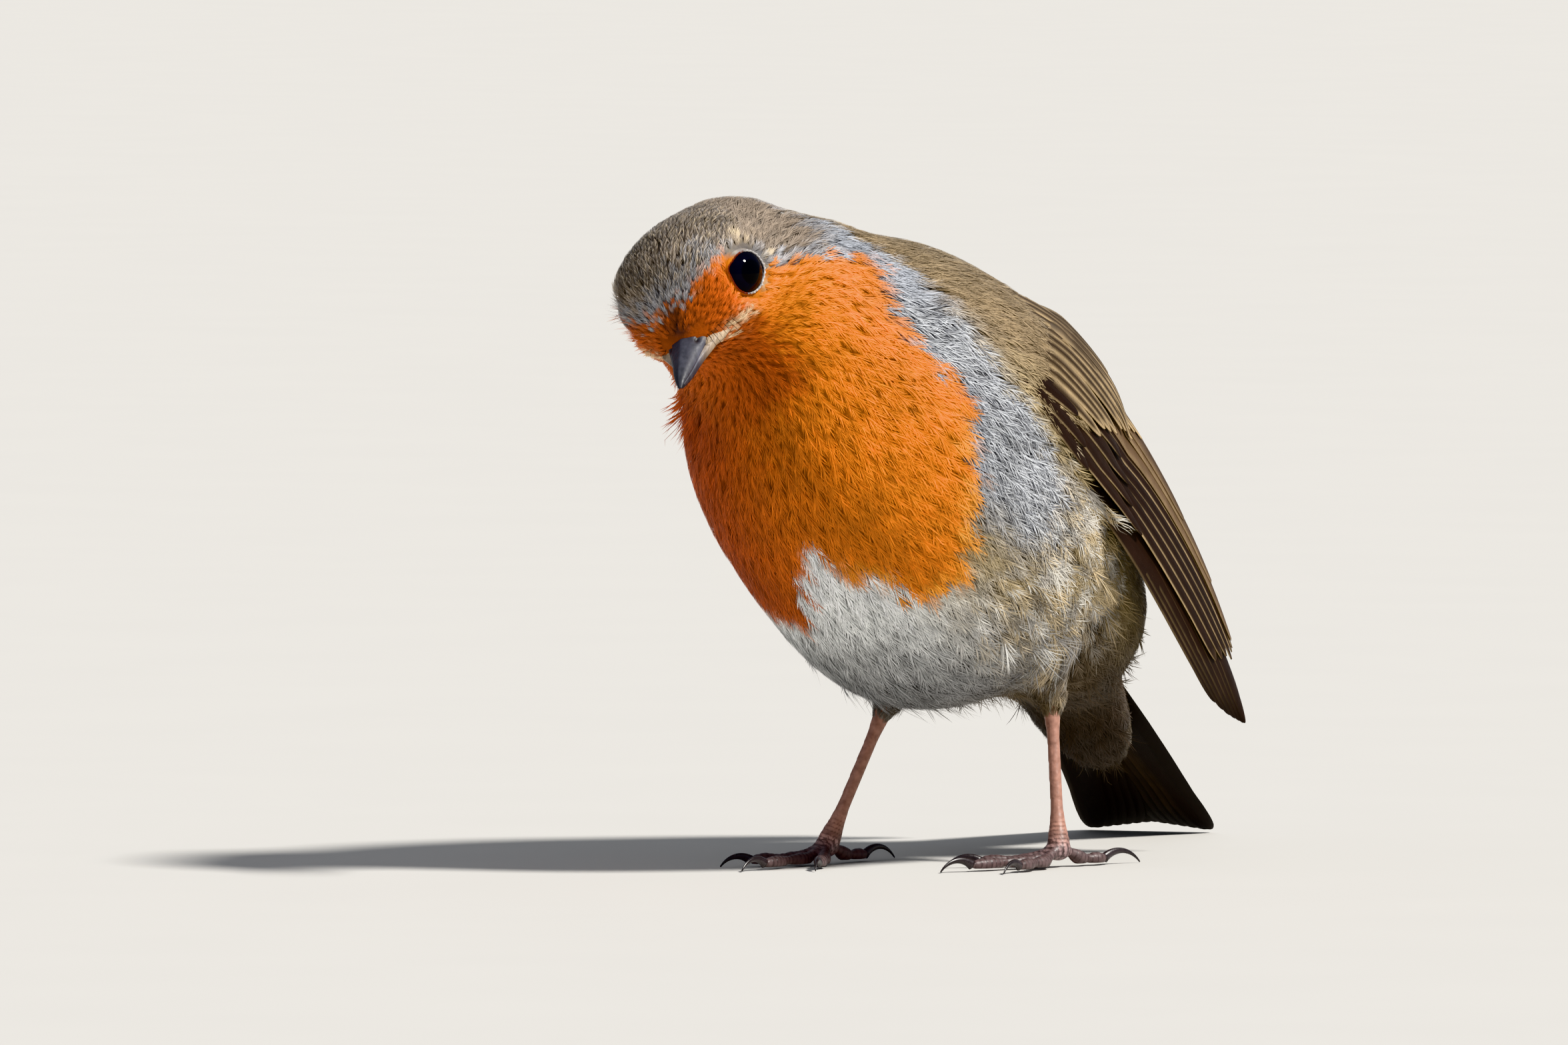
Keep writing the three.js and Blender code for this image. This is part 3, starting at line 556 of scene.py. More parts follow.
def markings(points):
    """The colour of the coat at points on or near its surface."""
    angle, back, _ = body_place(points)
    side = np.abs(angle)
    around = np.where(angle < -34, -angle, angle)
    edge = np.interp(around, BIB_EDGE_ANGLES, BIB_EDGE_BACK)
    ceiling = np.interp(back, CHEEK_TOP_BACK, CHEEK_TOP_ANGLES)
    bib = (1 - ramp(back - edge, -0.9, 0.9)) * (1 - ramp(around - ceiling, -2, 2))
    outer = np.interp(side, BAND_EDGE_ANGLES, BAND_EDGE_BACK)
    band = (1 - ramp(back - outer, -1.5, 2.0)) * ramp(side, 56, 74)
    low = 1 - ramp(side, 60, 90)
    behind = points - TAIL_ROOT
    # Painted shade under the tail: below its root and back along it.
    painted_shade_under_tail = ramp(behind @ TAIL_AXES[0], 4, 20) * (1 - ramp(behind @ TAIL_AXES[2], -1, 1))
    rim = bib * ramp(back - edge, -4, -0.5) * ramp(around, 12, 30) * (1 - ramp(around, 70, 90))

    tone = np.broadcast_to(colour("back"), points.shape)
    for name, share in (
        ("rump", ramp(back, 8, 24) * ramp(side, 100, 130)),
        ("flank", 1 - ramp(side, 96, 122)),
        ("belly", (1 - ramp(side, 22, 58)) * (1 - ramp(back, 6, 22))),
        # Painted shade: the underside darkens towards the bottom with the grey of the feather bases.
        ("down", 0.78 * (1 - ramp(points[..., 2], 21, 36)) * low),
        # Painted shade round the tail: the darker buff under it, and the coat towards the tail and under it
        # darkened with the wing's dark brown.
        ("vent", low * ramp(back, 14, 26)),
        ("wing_dark", mix(0.62, 0.45, ramp(side, 80, 110)) * ramp(back, 22, 34)),
        ("wing_dark", 0.6 * painted_shade_under_tail),
        ("band", band),
        ("bib", bib),
        # Painted shade: the orange darkens towards the bird's right side, away from the light, over a little
        # deeper orange everywhere.
        ("bib_shade", bib * mix(0.25, 0.85, 1 - ramp(angle, -30, 60))),
        ("gold", 0.5 * rim),
    ):
        tone = tint(tone, name, share)

    forward, left, up = head_place(points)
    azimuth = np.degrees(np.arctan2(np.abs(left), forward))
    top = np.interp(azimuth, FACE_EDGE_ANGLES, FACE_EDGE_UP)
    top = top - 2.4 * ramp(-left, 0.5, 5) * (1 - ramp(azimuth, 85, 105))
    face = 1 - ramp(up - top, -0.6, 0.6)
    grey = 1 - ramp((up - top) / np.interp(azimuth, GREY_ANGLES, GREY_REACH), 0.3, 1.1)
    # Painted shade on the face, used below: its right side and its front towards the bill take the darker
    # orange.
    painted_face_shade = np.maximum(1 - ramp(left, -6, 4), 1 - ramp(azimuth, 45, 75))
    crest = colour("crown") * mix(1, 0.72, ramp(azimuth, 70, 110))[..., None]
    crest = tint(crest, "band", grey * 0.7)
    crest = tint(crest, "bib", face)
    crest = tint(crest, "bib_shade", face * mix(0.2, 0.75, painted_face_shade))
    crest = mix(crest, crest * 0.12, bump(points, on_head(*LORE_SPOT), LORE_SIZE)[..., None])
    for side in SIDES.values():
        for forward_by, left_by, up_by, size in CREAM_PLACES:
            near = bump(points, on_head(forward_by, side * left_by, up_by), size)
            crest = tint(crest, "cream", 0.75 * np.minimum(near * 1.6, 1))
    on_skull = 1 - ramp(from_head(points), 16, 20)
    return mix(tone, crest, on_skull[..., None])


# ---- meshes


def make_piece(name, points, faces, finish, replaced=(), tones=None, maps=(), smooth_faces=True):
    """A mesh piece that rides on the bird. faces lists arrays of corners, one array for each face size."""
    mesh = bpy.data.meshes.new(name)
    points = in_frame(points).astype(np.float32)
    mesh.vertices.add(len(points))
    mesh.vertices.foreach_set("co", points.ravel())
    sizes = np.concatenate([np.full(len(f), f.shape[1]) for f in faces])
    corners = np.concatenate([f.ravel() for f in faces]).astype(np.int32)
    mesh.loops.add(len(corners))
    mesh.loops.foreach_set("vertex_index", corners)
    mesh.polygons.add(len(sizes))
    starts = np.concatenate([[0], np.cumsum(sizes)[:-1]]).astype(np.int32)
    mesh.polygons.foreach_set("loop_start", starts)
    mesh.polygons.foreach_set("use_smooth", np.full(len(sizes), smooth_faces))
    for map_name, values in maps:
        layer = mesh.uv_layers.new(name=map_name)
        layer.uv.foreach_set("vector", values[corners].astype(np.float32).ravel())
    if tones is not None:
        layer = mesh.color_attributes.new(name="Markings", type="FLOAT_COLOR", domain="POINT")
        full = np.concatenate([tones, np.ones((len(tones), 1))], axis=1).astype(np.float32)
        layer.data.foreach_set("color", full.ravel())
    mesh.update(calc_edges=True)
    mesh.validate()
    mesh.materials.append(finish)
    piece = bpy.data.objects.new(name, mesh)
    bpy.context.scene.collection.objects.link(piece)
    if replaced:
        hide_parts(*replaced)
    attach(piece, "root")
    return piece


def surface_net(volume):
    """The zero surface of a volume as quads, with one point in each cell that it crosses."""
    values = volume.values
    inside = values < 0
    last = np.array(values.shape) - 1
    views = [tuple(slice(c[i], last[i] + c[i]) for i in range(3)) for c in CORNERS]
    count = sum(inside[view].astype(np.int8) for view in views)
    crossed = (count > 0) & (count < 8)
    cells = np.argwhere(crossed)
    index = np.full(crossed.shape, -1, np.int64)
    index[crossed] = np.arange(len(cells))
    corner = np.stack([values[view][crossed] for view in views], -1)
    total = np.zeros((len(cells), 3))
    hits = np.zeros((len(cells), 1))
    for a, b in EDGES:
        changes = ((corner[:, a] < 0) != (corner[:, b] < 0))[:, None]
        share = corner[:, a] / np.where(corner[:, a] == corner[:, b], 1, corner[:, a] - corner[:, b])
        total += changes * (CORNERS[a] + share[:, None] * (CORNERS[b] - CORNERS[a]))
        hits += changes
    points = volume.low + (cells + total / hits) * volume.cell
    quads = []
    for axis in range(3):
        u, v = (axis + 1) % 3, (axis + 2) % 3
        stop = np.array(values.shape) - 1
        here = inside[1 : stop[0], 1 : stop[1], 1 : stop[2]]
        ahead = [slice(1, stop[i]) for i in range(3)]
        ahead[axis] = slice(2, stop[axis] + 1)
        there = inside[tuple(ahead)]
        base = np.argwhere(here != there) + 1
        leaving = here[here != there]
        ring = []
        for a, b in ((0, 0), (1, 0), (1, 1), (0, 1)):
            step = np.zeros(3, int)
            step[u], step[v] = -a, -b
            ring.append(index[tuple((base + step).T)])
        quad = np.stack(ring, -1)
        quads.append(np.where(leaving[:, None], quad, quad[:, ::-1]))
    return points, np.concatenate(quads)


def loft(rings):
    """A closed body through rings of points, with a fan over each end, as points, quads and triangles."""
    rings = np.asarray(rings)
    rows, size = rings.shape[:2]
    points = np.concatenate([rings.reshape(-1, 3), rings[[0, -1]].mean(1)])
    i = np.arange(size)
    j = (i + 1) % size
    quads = [
        np.stack([r * size + i, r * size + j, (r + 1) * size + j, (r + 1) * size + i], -1)
        for r in range(rows - 1)
    ]
    first = np.stack([np.full(size, rows * size), j, i], -1)
    end = (rows - 1) * size
    final = np.stack([np.full(size, rows * size + 1), end + i, end + j], -1)
    return points, np.concatenate(quads), np.concatenate([first, final])


def tube(path, radii, sides, sideways, squash=1.0):
    """A round or oval tube along a path, as rings. squash narrows it across the sideways direction."""
    path = np.asarray(path, float)
    along = unit(np.gradient(path, axis=0))
    across = unit(sideways - dots(along, sideways) * along)
    over = np.cross(along, across)
    angle = 2 * pi * np.arange(sides) / sides
    radii = np.asarray(radii)[:, None, None]
    return path[:, None] + radii * (
        squash * np.cos(angle)[None, :, None] * across[:, None] + np.sin(angle)[None, :, None] * over[:, None]
    )


class Parts:
    """Gathers points, faces, colours and maps of many small bodies into one mesh."""

    def __init__(self):
        self.points, self.quads, self.triangles, self.tones, self.maps = [], [], [], [], []
        self.count = 0

    def add(self, points, quads, triangles=None, tones=None, where=None):
        points = points.reshape(-1, 3)
        self.points.append(points)
        self.quads.append(np.asarray(quads).reshape(-1, 4) + self.count)
        if triangles is not None:
            self.triangles.append(np.asarray(triangles).reshape(-1, 3) + self.count)
        if tones is not None:
            self.tones.append(np.broadcast_to(tones, points.shape))
        if where is not None:
            self.maps.append(where.reshape(-1, 2))
        self.count += len(points)

    def piece(self, name, finish, slot, replaced=(), map_name=None):
        faces = [np.concatenate(self.quads)]
        if self.triangles:
            faces.append(np.concatenate(self.triangles))
        tones = np.concatenate(self.tones) if self.tones else None
        maps = [(map_name, np.concatenate(self.maps))] if map_name else []
        make_piece(name, np.concatenate(self.points), faces, finish, replaced, tones, maps)


# ---- finishes

SOCKETS = {
    "rough": "Roughness",
    "specular": "Specular IOR Level",
    "sheen": "Sheen Weight",
    "sheen_rough": "Sheen Roughness",
    "coat": "Coat Weight",
    "coat_rough": "Coat Roughness",
}


class Finish:
    """A material in the making: the tone that the nodes so far give, and its shader's own values."""

    def __init__(self, name, flat=None, **values):
        self.material = bpy.data.materials.new(name)
        self.material.use_nodes = True
        self.tree = self.material.node_tree
        self.shader = self.tree.nodes["Principled BSDF"]
        for key, value in values.items():
            self.shader.inputs[SOCKETS[key]].default_value = value
        if flat is None:
            self.tone = self.node("Attribute", attribute_name="Markings")["Color"]
        else:
            self.tone = self.node("RGB")["Color"]
            self.tone.default_value = (*flat, 1)

    def node(self, kind, joined=(), fixed=(), **settings):
        """Adds a node. joined and fixed give, for some of its inputs, the outputs and values they take."""
        node = self.tree.nodes.new(f"ShaderNode{kind}")
        for name, value in settings.items():
            setattr(node, name, value)
        for key, value in dict(fixed).items():
            node.inputs[key].default_value = value
        for key, output in dict(joined).items():
            self.tree.links.new(output, node.inputs[key])
        return node.outputs

    def noise(self, scale, detail=3, stretch=(1, 1, 1)):
        """A noise on the piece's own coordinates, in features for each metre."""
        where = self.node("TexCoord")["Object"]
        place = self.node("Mapping", {"Vector": where}, {"Scale": stretch})["Vector"]
        return self.node("TexNoise", {"Vector": place}, {"Scale": scale, "Detail": detail})["Fac"]

    def spread(self, fac, low, high, inside=(0.3, 0.7)):
        return self.node("MapRange", {0: fac}, {1: inside[0], 2: inside[1], 3: low, 4: high})["Result"]

    def vary(self, fac, low, high):
        """Makes the tone darker and lighter by a noise."""
        value = self.spread(fac, low, high)
        self.tone = self.node("HueSaturation", {"Color": self.tone, "Value": value})["Color"]

    def relief(self, height, distance, strength):
        normal = self.node("Bump", {"Height": height}, {"Strength": strength, "Distance": distance})["Normal"]
        self.tree.links.new(normal, self.shader.inputs["Normal"])

    def done(self):
        self.tree.links.new(self.tone, self.shader.inputs["Base Color"])
        return self.material


@cache
def coat_finish():
    finish = Finish("robin_coat", rough=0.6, specular=0.3, sheen=0.12, sheen_rough=0.5)
    finish.vary(finish.noise(220), 0.82, 1.16)
    finish.vary(finish.noise(1600, 2), 0.92, 1.08)
    return finish.done()


@cache
def skin_finish():
    finish = Finish("robin_skin", rough=0.8, specular=0.2)
    finish.vary(finish.noise(900), 0.7, 1.1)
    finish.relief(finish.noise(1600, 4), 0.0003, 0.6)
    return finish.done()


BARB_SLANT, BARB_SPACING = -1.5, 0.28


@cache
def vane_finish():
    """Flight feathers: fine slanted barbs on both sides of the shaft, from the vane's own map."""
    finish = Finish("robin_vanes", rough=0.5, specular=0.25)
    place = finish.node("UVMap", uv_map="Vane")["UV"]
    across, along, _ = finish.node("SeparateXYZ", {0: place})
    side = finish.node("Math", {0: across}, operation="ABSOLUTE")[0]
    slant = finish.node("Math", {0: side, 2: along}, {1: BARB_SLANT}, operation="MULTIPLY_ADD")[0]
    waves = finish.node("Math", {0: slant}, {1: 2 * pi / BARB_SPACING}, operation="MULTIPLY")[0]
    barbs = finish.node("Math", {0: waves}, operation="SINE")[0]
    height = finish.spread(barbs, 0, 1, (-1, 1))
    finish.vary(finish.noise(500), 0.82, 1.15)
    finish.vary(height, 0.9, 1.06)
    finish.relief(height, 0.00005, 0.7)
    return finish.done()


@cache
def horn_finish(name, roughness, coat):
    """Bill and claws: horn with fine growth streaks and small scuffs."""
    finish = Finish(name, specular=0.5, coat=coat, coat_rough=0.25)
    streaks = finish.noise(1500, 4, (1, 1, 0.35))
    finish.vary(streaks, 0.72, 1.25)
    scuffs = finish.spread(finish.noise(2600), roughness - 0.08, roughness + 0.12)
    finish.tree.links.new(scuffs, finish.shader.inputs["Roughness"])
    finish.relief(streaks, 0.00006, 0.5)
    return finish.done()


@cache
def leg_finish():
    finish = Finish("robin_legs", rough=0.45, specular=0.45)
    finish.vary(finish.noise(1400, 4), 0.75, 1.2)
    where = finish.node("TexCoord")["Object"]
    scales = finish.node("TexVoronoi", {"Vector": where}, {"Scale": 1500}, feature="DISTANCE_TO_EDGE")
    finish.relief(scales["Distance"], 0.0001, 0.35)
    return finish.done()


@cache
def eye_finish():
    finish = Finish("robin_eyes", rough=0.06, specular=0.14)
    finish.vary(finish.noise(1200, 2), 0.8, 1.3)
    return finish.done()


@cache
def floor_finish():
    finish = Finish("stage_floor", colour("floor"), rough=0.85, specular=0.2)
    finish.vary(finish.noise(30, 2), 0.985, 1.015)
    return finish.done()


# ---- the lie and depth of the coat


def coat_depth(points):
    """How deep the skin lies under the feathers' tips."""
    away = from_bill(points)
    depth = 0.28 + 0.2 * ramp(away, 2, 10) + 0.25 * ramp(away, 14, 30)
    for side in SIDES.values():
        depth = depth - 0.2 * bump(points, on_look(side, 0), 4.5)
    for leg in LEGS.values():
        depth = depth - 0.2 * bump(points, leg["shin"], 5)
    return np.maximum(depth, 0.2)


def coat_lie(points, normals):
    """The unit direction in which feathers lie: back from the bill over the head, then along the body."""
    body = np.broadcast_to(BODY_AXES[1], points.shape)
    tailward = ramp(points[:, 1], 16, 34)[:, None]
    body = unit(mix(body, np.broadcast_to(TAIL_AXES[0], points.shape), tailward))
    on_face = 1 - ramp(from_head(points), 10, 20)
    flow = mix(body, unit(points - on_head(8.6, 0, -1.4)), on_face[:, None])
    for side in SIDES.values():
        out, distance, _ = eye_place(points, side)
        near = np.exp(-np.maximum(distance - 2.6, 0) / 1.6) * (norm(points - on_look(side, 0)) < 8)
        if side < 0:
            near = near * (1 - np.minimum(1, 1.5 * brow_share(points)))
        flow = flow + unit(out) * near[:, None] * 1.1
    for leg in LEGS.values():
        on_thigh = 1 - ramp(thigh_field(points, leg), 0.5, 3.5)
        flow = mix(flow, np.broadcast_to(-shank_of(leg), points.shape), on_thigh[:, None])
    return unit(flow - dots(flow, normals) * normals)


# ---- skin


def build_skin():
    volume = Volume(COAT_LOW, COAT_HIGH, SKIN_CELL)
    points = volume.points()
    flat = points.reshape(-1, 3)
    volume.values = (plumage_volume().at(flat)[0] + coat_depth(flat)).reshape(points.shape[:3])
    points, quads = surface_net(volume)
    tones = markings(points)
    tones = mix(tones * 0.55, colour("down"), 0.4 * (1 - warmth(tones)))
    replaced = ("head", "neck", "trunk", "rump", "thigh_left", "thigh_right")
    make_piece("skin", points, [quads], skin_finish(), replaced, tones)


# ---- coat


def spread_roots(points, quads, spacing, rng):
    """Points spread evenly over a surface, closer together where the spacing is smaller."""
    a, b, c, d = (points[quads[:, i]] for i in range(4))
    area = norm(np.cross(b - a, c - a)) + norm(np.cross(c - a, d - a))
    weight = area / spacing((a + b + c + d) / 4) ** 2
    count = int(weight.sum() * 1.6)
    chosen = np.searchsorted(np.cumsum(weight) / weight.sum(), rng.random(count))
    chosen = np.minimum(chosen, len(quads) - 1)
    u, v = rng.random((2, count, 1))
    place = mix(mix(a[chosen], b[chosen], u), mix(d[chosen], c[chosen], u), v)
    apart = spacing(place)
    tree = tree_of(place)
    free = np.ones(count, bool)
    kept = []
    for index in range(count):
        if not free[index]:
            continue
        kept.append(index)
        for _, other, _ in tree.find_range(place[index], apart[index]):
            free[other] = False
    return place[kept]


def wing_place(points, side):
    """Where points lie on a folded wing: t, v and the distance from its middle sheet."""
    t, v = sheet(81, 25)
    tree = tree_of(wing_surface(side).place(t, v, 0).reshape(-1, 3))
    found = [tree.find(point) for point in points]
    index = np.array([f[1] for f in found])
    return t.ravel()[index], v.ravel()[index], np.array([f[2] for f in found])


# A contour feather: the shaft and, from both sides of it, barbs that leave it at these shares of its length.
BARBS = 8
BARB_STATIONS = 4
BARB_CORNERS = 2 * BARB_STATIONS - 1
BARB_TAPER = np.array([0.8, 1.0, 0.75])[:, None]
ROOT_DEPTH, TIP_DEPTH = 0.15, 0.16  # of roots under the skin, and of tips under the coat's surface


def feather_template():
    """For each barb, and each station along it: share of the feather's length, and of its half width."""
    q = np.linspace(0, 1, BARB_STATIONS)
    paths = [np.stack([0.2 + 0.8 * q, 0 * q], -1)]
    for n in range(BARBS):
        start = 0.5 * n / (BARBS - 1)
        reach = 0.6 - 0.12 * start
        wide = sqrt(1 - (n / BARBS) ** 2)
        for side in (1, -1):
            paths.append(np.stack([start + reach * q, side * wide * (0.4 * q + 0.6 * q**1.3)], -1))
    return np.array(paths)


def build_feathers(roots, normals, volume, rng, shape):
    """Points of small feathers, one narrow pointed strip a barb. shape holds one value for each feather."""
    count = len(roots)
    length, width, lift, depth, strip = (
        shape[key][:, None, None] for key in ("length", "width", "lift", "depth", "strip")
    )
    lie = coat_lie(roots, normals)
    twist = (rng.normal(0, 1, count) * shape["scatter"])[:, None]
    lie = lie * np.cos(twist) + np.cross(normals, lie) * np.sin(twist)
    across = np.cross(normals, lie)
    template = feather_template()[None]
    barbs = template.shape[1]
    each = (count, barbs, 1)
    share = template[..., 0]
    stray = rng.normal(0, 1, each) * 0.03
    along = share * length * (1 + rng.normal(0, 0.1, each))
    wide = template[..., 1] * width * (1 + rng.normal(0, 0.12, each)) + stray * length * share**2 * 0.6
    wide = wide + rng.normal(0, 0.025, count)[:, None, None] * length * share**2
    points = roots[:, None, None] + along[..., None] * lie[:, None, None]
    points = points + wide[..., None] * across[:, None, None]

    over = 0.1 * rng.random(count)[:, None, None] + 0.1 * rng.random(each)
    stand = lift * (1 + 0.5 * rng.normal(0, 1, each)) * share**2
    level = mix(-depth - ROOT_DEPTH, over - TIP_DEPTH, smooth(share * 1.5)) + np.maximum(stand, 0)
    flat = clear_of_eyes(volume.settle(points.reshape(-1, 3), level.ravel()))
    points = flat.reshape(points.shape)
    facing = unit(volume.at(flat)[1]).reshape(points.shape)

    forward = unit(np.gradient(points, axis=2))
    sideways = unit(np.cross(forward, facing))
    roll = rng.normal(0, 0.14, (*each, 1))
    sideways = sideways * np.cos(roll) + facing * np.sin(roll)
    half = strip[..., None] / 2 * BARB_TAPER * (1 + 0.2 * rng.normal(0, 1, (*each, 1)))
    body, sideways = points[:, :, :-1], sideways[:, :, :-1] * half
    strips = np.stack([body - sideways, body + sideways], 3).reshape(count, barbs, -1, 3)
    strips = np.concatenate([strips, points[:, :, -1:]], 2)
    local = np.stack([wide / np.max(width), share + 0 * wide], -1)
    local = np.concatenate([np.repeat(local[:, :, :-1], 2, axis=2), local[:, :, -1:]], 2)
    return strips, local


def clear_of_eyes(points):
    """Moves points that would lie over an eye out to its lids."""
    reach = LID_RADIUS + LID_EDGE
    for side in SIDES.values():
        out, distance, height = eye_place(points, side)
        over = (distance < reach) & (height > -5) & (height < 1)
        points = points + unit(out) * ((reach - distance) * over)[:, None]
    return points


CHIN_FRINGE, FRINGE_SIZE = np.array([-11.5, -35.5, 59.5]), 2.8


def brow_share(points):
    """The feathers in front of the right eye, which stand up before it."""
    return bump(points, on_look(-1, 0) + HEAD_AXES[0] * 3.4 + HEAD_AXES[2] * 0.6, 3.4)


def fluff(points):
    """How loose and long the feathers are: most on the flanks, the belly and the vent."""
    angle, back, _ = body_place(points)
    return (1 - ramp(np.abs(angle), 84, 112)) * ramp(back, -8, 6)


def comb(points):
    """Where the barbs stand apart, in the grey band beside the breast."""
    angle, back, _ = body_place(points)
    side = np.abs(angle)
    outer = np.interp(side, BAND_EDGE_ANGLES, BAND_EDGE_BACK)
    inner = np.interp(side, BIB_EDGE_ANGLES, BIB_EDGE_BACK)
    within = ramp(back - inner, -1.5, 0.5) * (1 - ramp(back - outer, 0, 4))
    return within * ramp(side, 56, 74) * (1 - ramp(side, 112, 126))


def feather_shape(roots, rng):
    """Length, width and the rest of each contour feather, from where it grows."""
    count = len(roots)
    growth = ramp(from_bill(roots), 1, 34)
    loose, apart = fluff(roots), comb(roots)
    fringe, brow = bump(roots, CHIN_FRINGE, FRINGE_SIZE), brow_share(roots)
    length = mix(1.5, 4.4, growth) + 2.4 * loose * (1 - ramp(roots[:, 1], 24, 34))
    width = length * mix(mix(0.22, 0.2, loose), 0.26, apart)
    wisp = loose * (rng.random(count) < 0.08)
    lift = 0.05 + 0.3 * loose * rng.random(count) ** 2 + wisp * 1.2
    lift = lift + 2.4 * fringe * (0.3 + 0.7 * rng.random(count))
    lift = lift + 2.1 * brow * (0.5 + 0.5 * rng.random(count))
    for leg in LEGS.values():
        near = bump(roots, leg["shin"], 6)
        length = mix(length, 2.4, near)
        width = mix(width, 0.5, near)
        lift = lift * (1 - near)
    return {
        "length": length * (1 + rng.normal(0, 0.1, count)) * (1 + 0.5 * fringe + 0.6 * brow),
        "width": width * (1 + 0.5 * fringe),
        "lift": lift,
        "scatter": mix(0.07, 0.1, growth) + 0.13 * loose + 0.2 * fringe,
        "strip": mix(mix(0.07, 0.1, growth), 0.11, apart) * (1 + 0.8 * fringe),
        "depth": coat_depth(roots),
    }


def root_spacing(points):
    return mix(0.42, 0.82, ramp(from_bill(points), 2, 26)) * bpy.context.scene.robin_sizes.spacing


BAKE_PATCH = 0.003  # how much of the map a feather takes


def bake_places(roots, local):
    """Map places for baking: each feather is a small patch at its root's place on an unwrap of the body."""
    on_skull = (from_head(roots) < 15)[:, None]
    way = unit(roots - np.where(on_skull, HEAD_CENTRE, TRUNK_CENTRE + [0, -4, 3]))
    way = np.where(on_skull, way @ HEAD_AXES.T, way @ BODY_AXES.T[:, [1, 0, 2]])
    flat = way[:, :2] / np.abs(way).sum(-1, keepdims=True)
    fold = (1 - np.abs(flat[:, ::-1])) * np.where(flat >= 0, 1, -1)
    flat = np.where(way[:, 2:] < 0, fold, flat)
    place = np.where(on_skull, [0.23, 0.75], [0.7, 0.3]) + np.where(on_skull, 0.22, 0.27) * flat
    return place[:, None, None] + (local - [0, 0.5]) * [BAKE_PATCH / 2, BAKE_PATCH]


def feather_streaks(roots):
    """How dark the middle of each feather is: most on the crown and over the wings' roots."""
    crown = ramp(head_place(roots)[2], 3, 6) * (from_head(roots) < 16)
    return 0.7 * crown + 0.35 * ramp(body_place(roots)[2], 12, 20) * (1 - crown)


def warmth(tone):
    """How orange a colour is."""
    return ramp(tone[..., :1] - tone[..., 2:], 0.2, 0.45)


# Pale and dark feathers mixed in on the flanks: colour, and the range of the draw that picks it.
FLANK_MIX = (("cream", 0, 0.24), ("belly", 0.24, 0.46), ("band", 0.46, 0.66), ("down", 0.66, 0.74))


def feather_tones(roots, normals, shape, local, rng):
    """The colour at each corner of each feather: its own, darker at the root and down its middle."""
    count, barbs = local.shape[:2]
    drift = rng.normal(0, 0.6, (count, 3))
    tone = markings(roots + coat_lie(roots, normals) * shape["length"][:, None] * 0.5 + drift)
    angle, back, _ = body_place(roots)
    side = np.abs(angle)
    mixed = ramp(side, 26, 50) * (1 - ramp(side, 96, 116)) * ramp(back, -10, -2) * (1 - ramp(back, 16, 26))
    mixed = mixed * (1 - warmth(tone)[:, 0])
    pick = rng.random(count)
    for name, low, high in FLANK_MIX:
        tone = tint(tone, name, 0.5 * mixed * ((pick >= low) & (pick < high)))
    tone = tone * (1 + rng.normal(0, 0.05, (count, 1)))
    warm = warmth(tone)[:, None]
    tones = tone[:, None, None] * (1 + rng.normal(0, 0.12, (count, barbs, 1, 1)))

    # single barbs: pale and dark ones on the crown, turn and turn about in the grey band
    everywhere = np.ones(local.shape[:3])
    strand = rng.random((count, barbs, 1)) * everywhere
    streaks = feather_streaks(roots)[:, None, None]
    crest = streaks * (1 - warm)
    tones = tint(tones, "cream", 0.55 * crest * (strand > 0.76))
    tones = tones * (1 - 0.75 * crest * (strand < 0.3))[..., None]
    dark_barb = ((np.arange(barbs) + 1) // 2 % 2)[None, :, None] * everywhere
    banded = comb(roots)[:, None, None] * (1 - warm)
    tones = tint(tones, "down", 0.62 * banded * dark_barb)
    tones = tint(tones, "belly", 0.22 * banded * (1 - dark_barb))

    # from root to tip, and from the middle to the edges
    share, warm = local[..., 1:], warm[..., None]
    # Darker towards the root: partly the grey of the down, partly painted shade between the feathers, which
    # orange feathers take as their own orange darkened.
    rooted = (1 - smooth(share * 1.6)) * mix(0.6, 0.45, warm)
    deep = mix(tones * 0.45, colour("down") * 0.8, 0.6 * (1 - warm))
    tones = mix(tones * (0.9 + 0.2 * share), deep, rooted)
    tones = mix(tones, colour("down"), banded[..., None] * 0.6 * (1 - smooth(share * 1.5 - 0.1)))
    beside = local[..., 0] * (np.max(shape["width"]) / shape["width"])[:, None, None]
    tones = tones * (1 - streaks * np.exp(-((beside / 0.28) ** 2)))[..., None]
    fringed = 0.6 * streaks * ramp(np.abs(beside), 0.3, 0.6) * ramp(local[..., 1], 0.5, 0.9)
    tones = tint(tones, "band", fringed * (1 - warm[..., 0]))
    return np.clip(tones, 0, 1)


COAT_SLOTS = {
    "head": "plumage_orange",
    "throat": "plumage_orange",
    "breast": "plumage_orange",
    "belly": "plumage_belly",
    "back": "plumage_brown",
    "flank_left": "plumage_brown",
    "flank_right": "plumage_brown",
    "rump": "plumage_brown",
    "thighs": "plumage_belly",
}


def coat_region(roots):
    """The index of the coat piece that each root belongs to."""
    angle, back, _ = body_place(roots)
    side = np.abs(angle)
    region = np.where(side < 55, 3, np.where(side > 115, 4, np.where(angle > 0, 5, 6)))
    region = np.where((back < -9) & (side < 115), 2, region)
    region = np.where((from_head(roots) < 21) & (region == 2), 1, region)
    region = np.where(from_head(roots) < 14.5, 0, region)
    region = np.where(back > 20, 7, region)
    for leg in LEGS.values():
        region = np.where(thigh_field(roots, leg) < 0.2, 8, region)
    return region


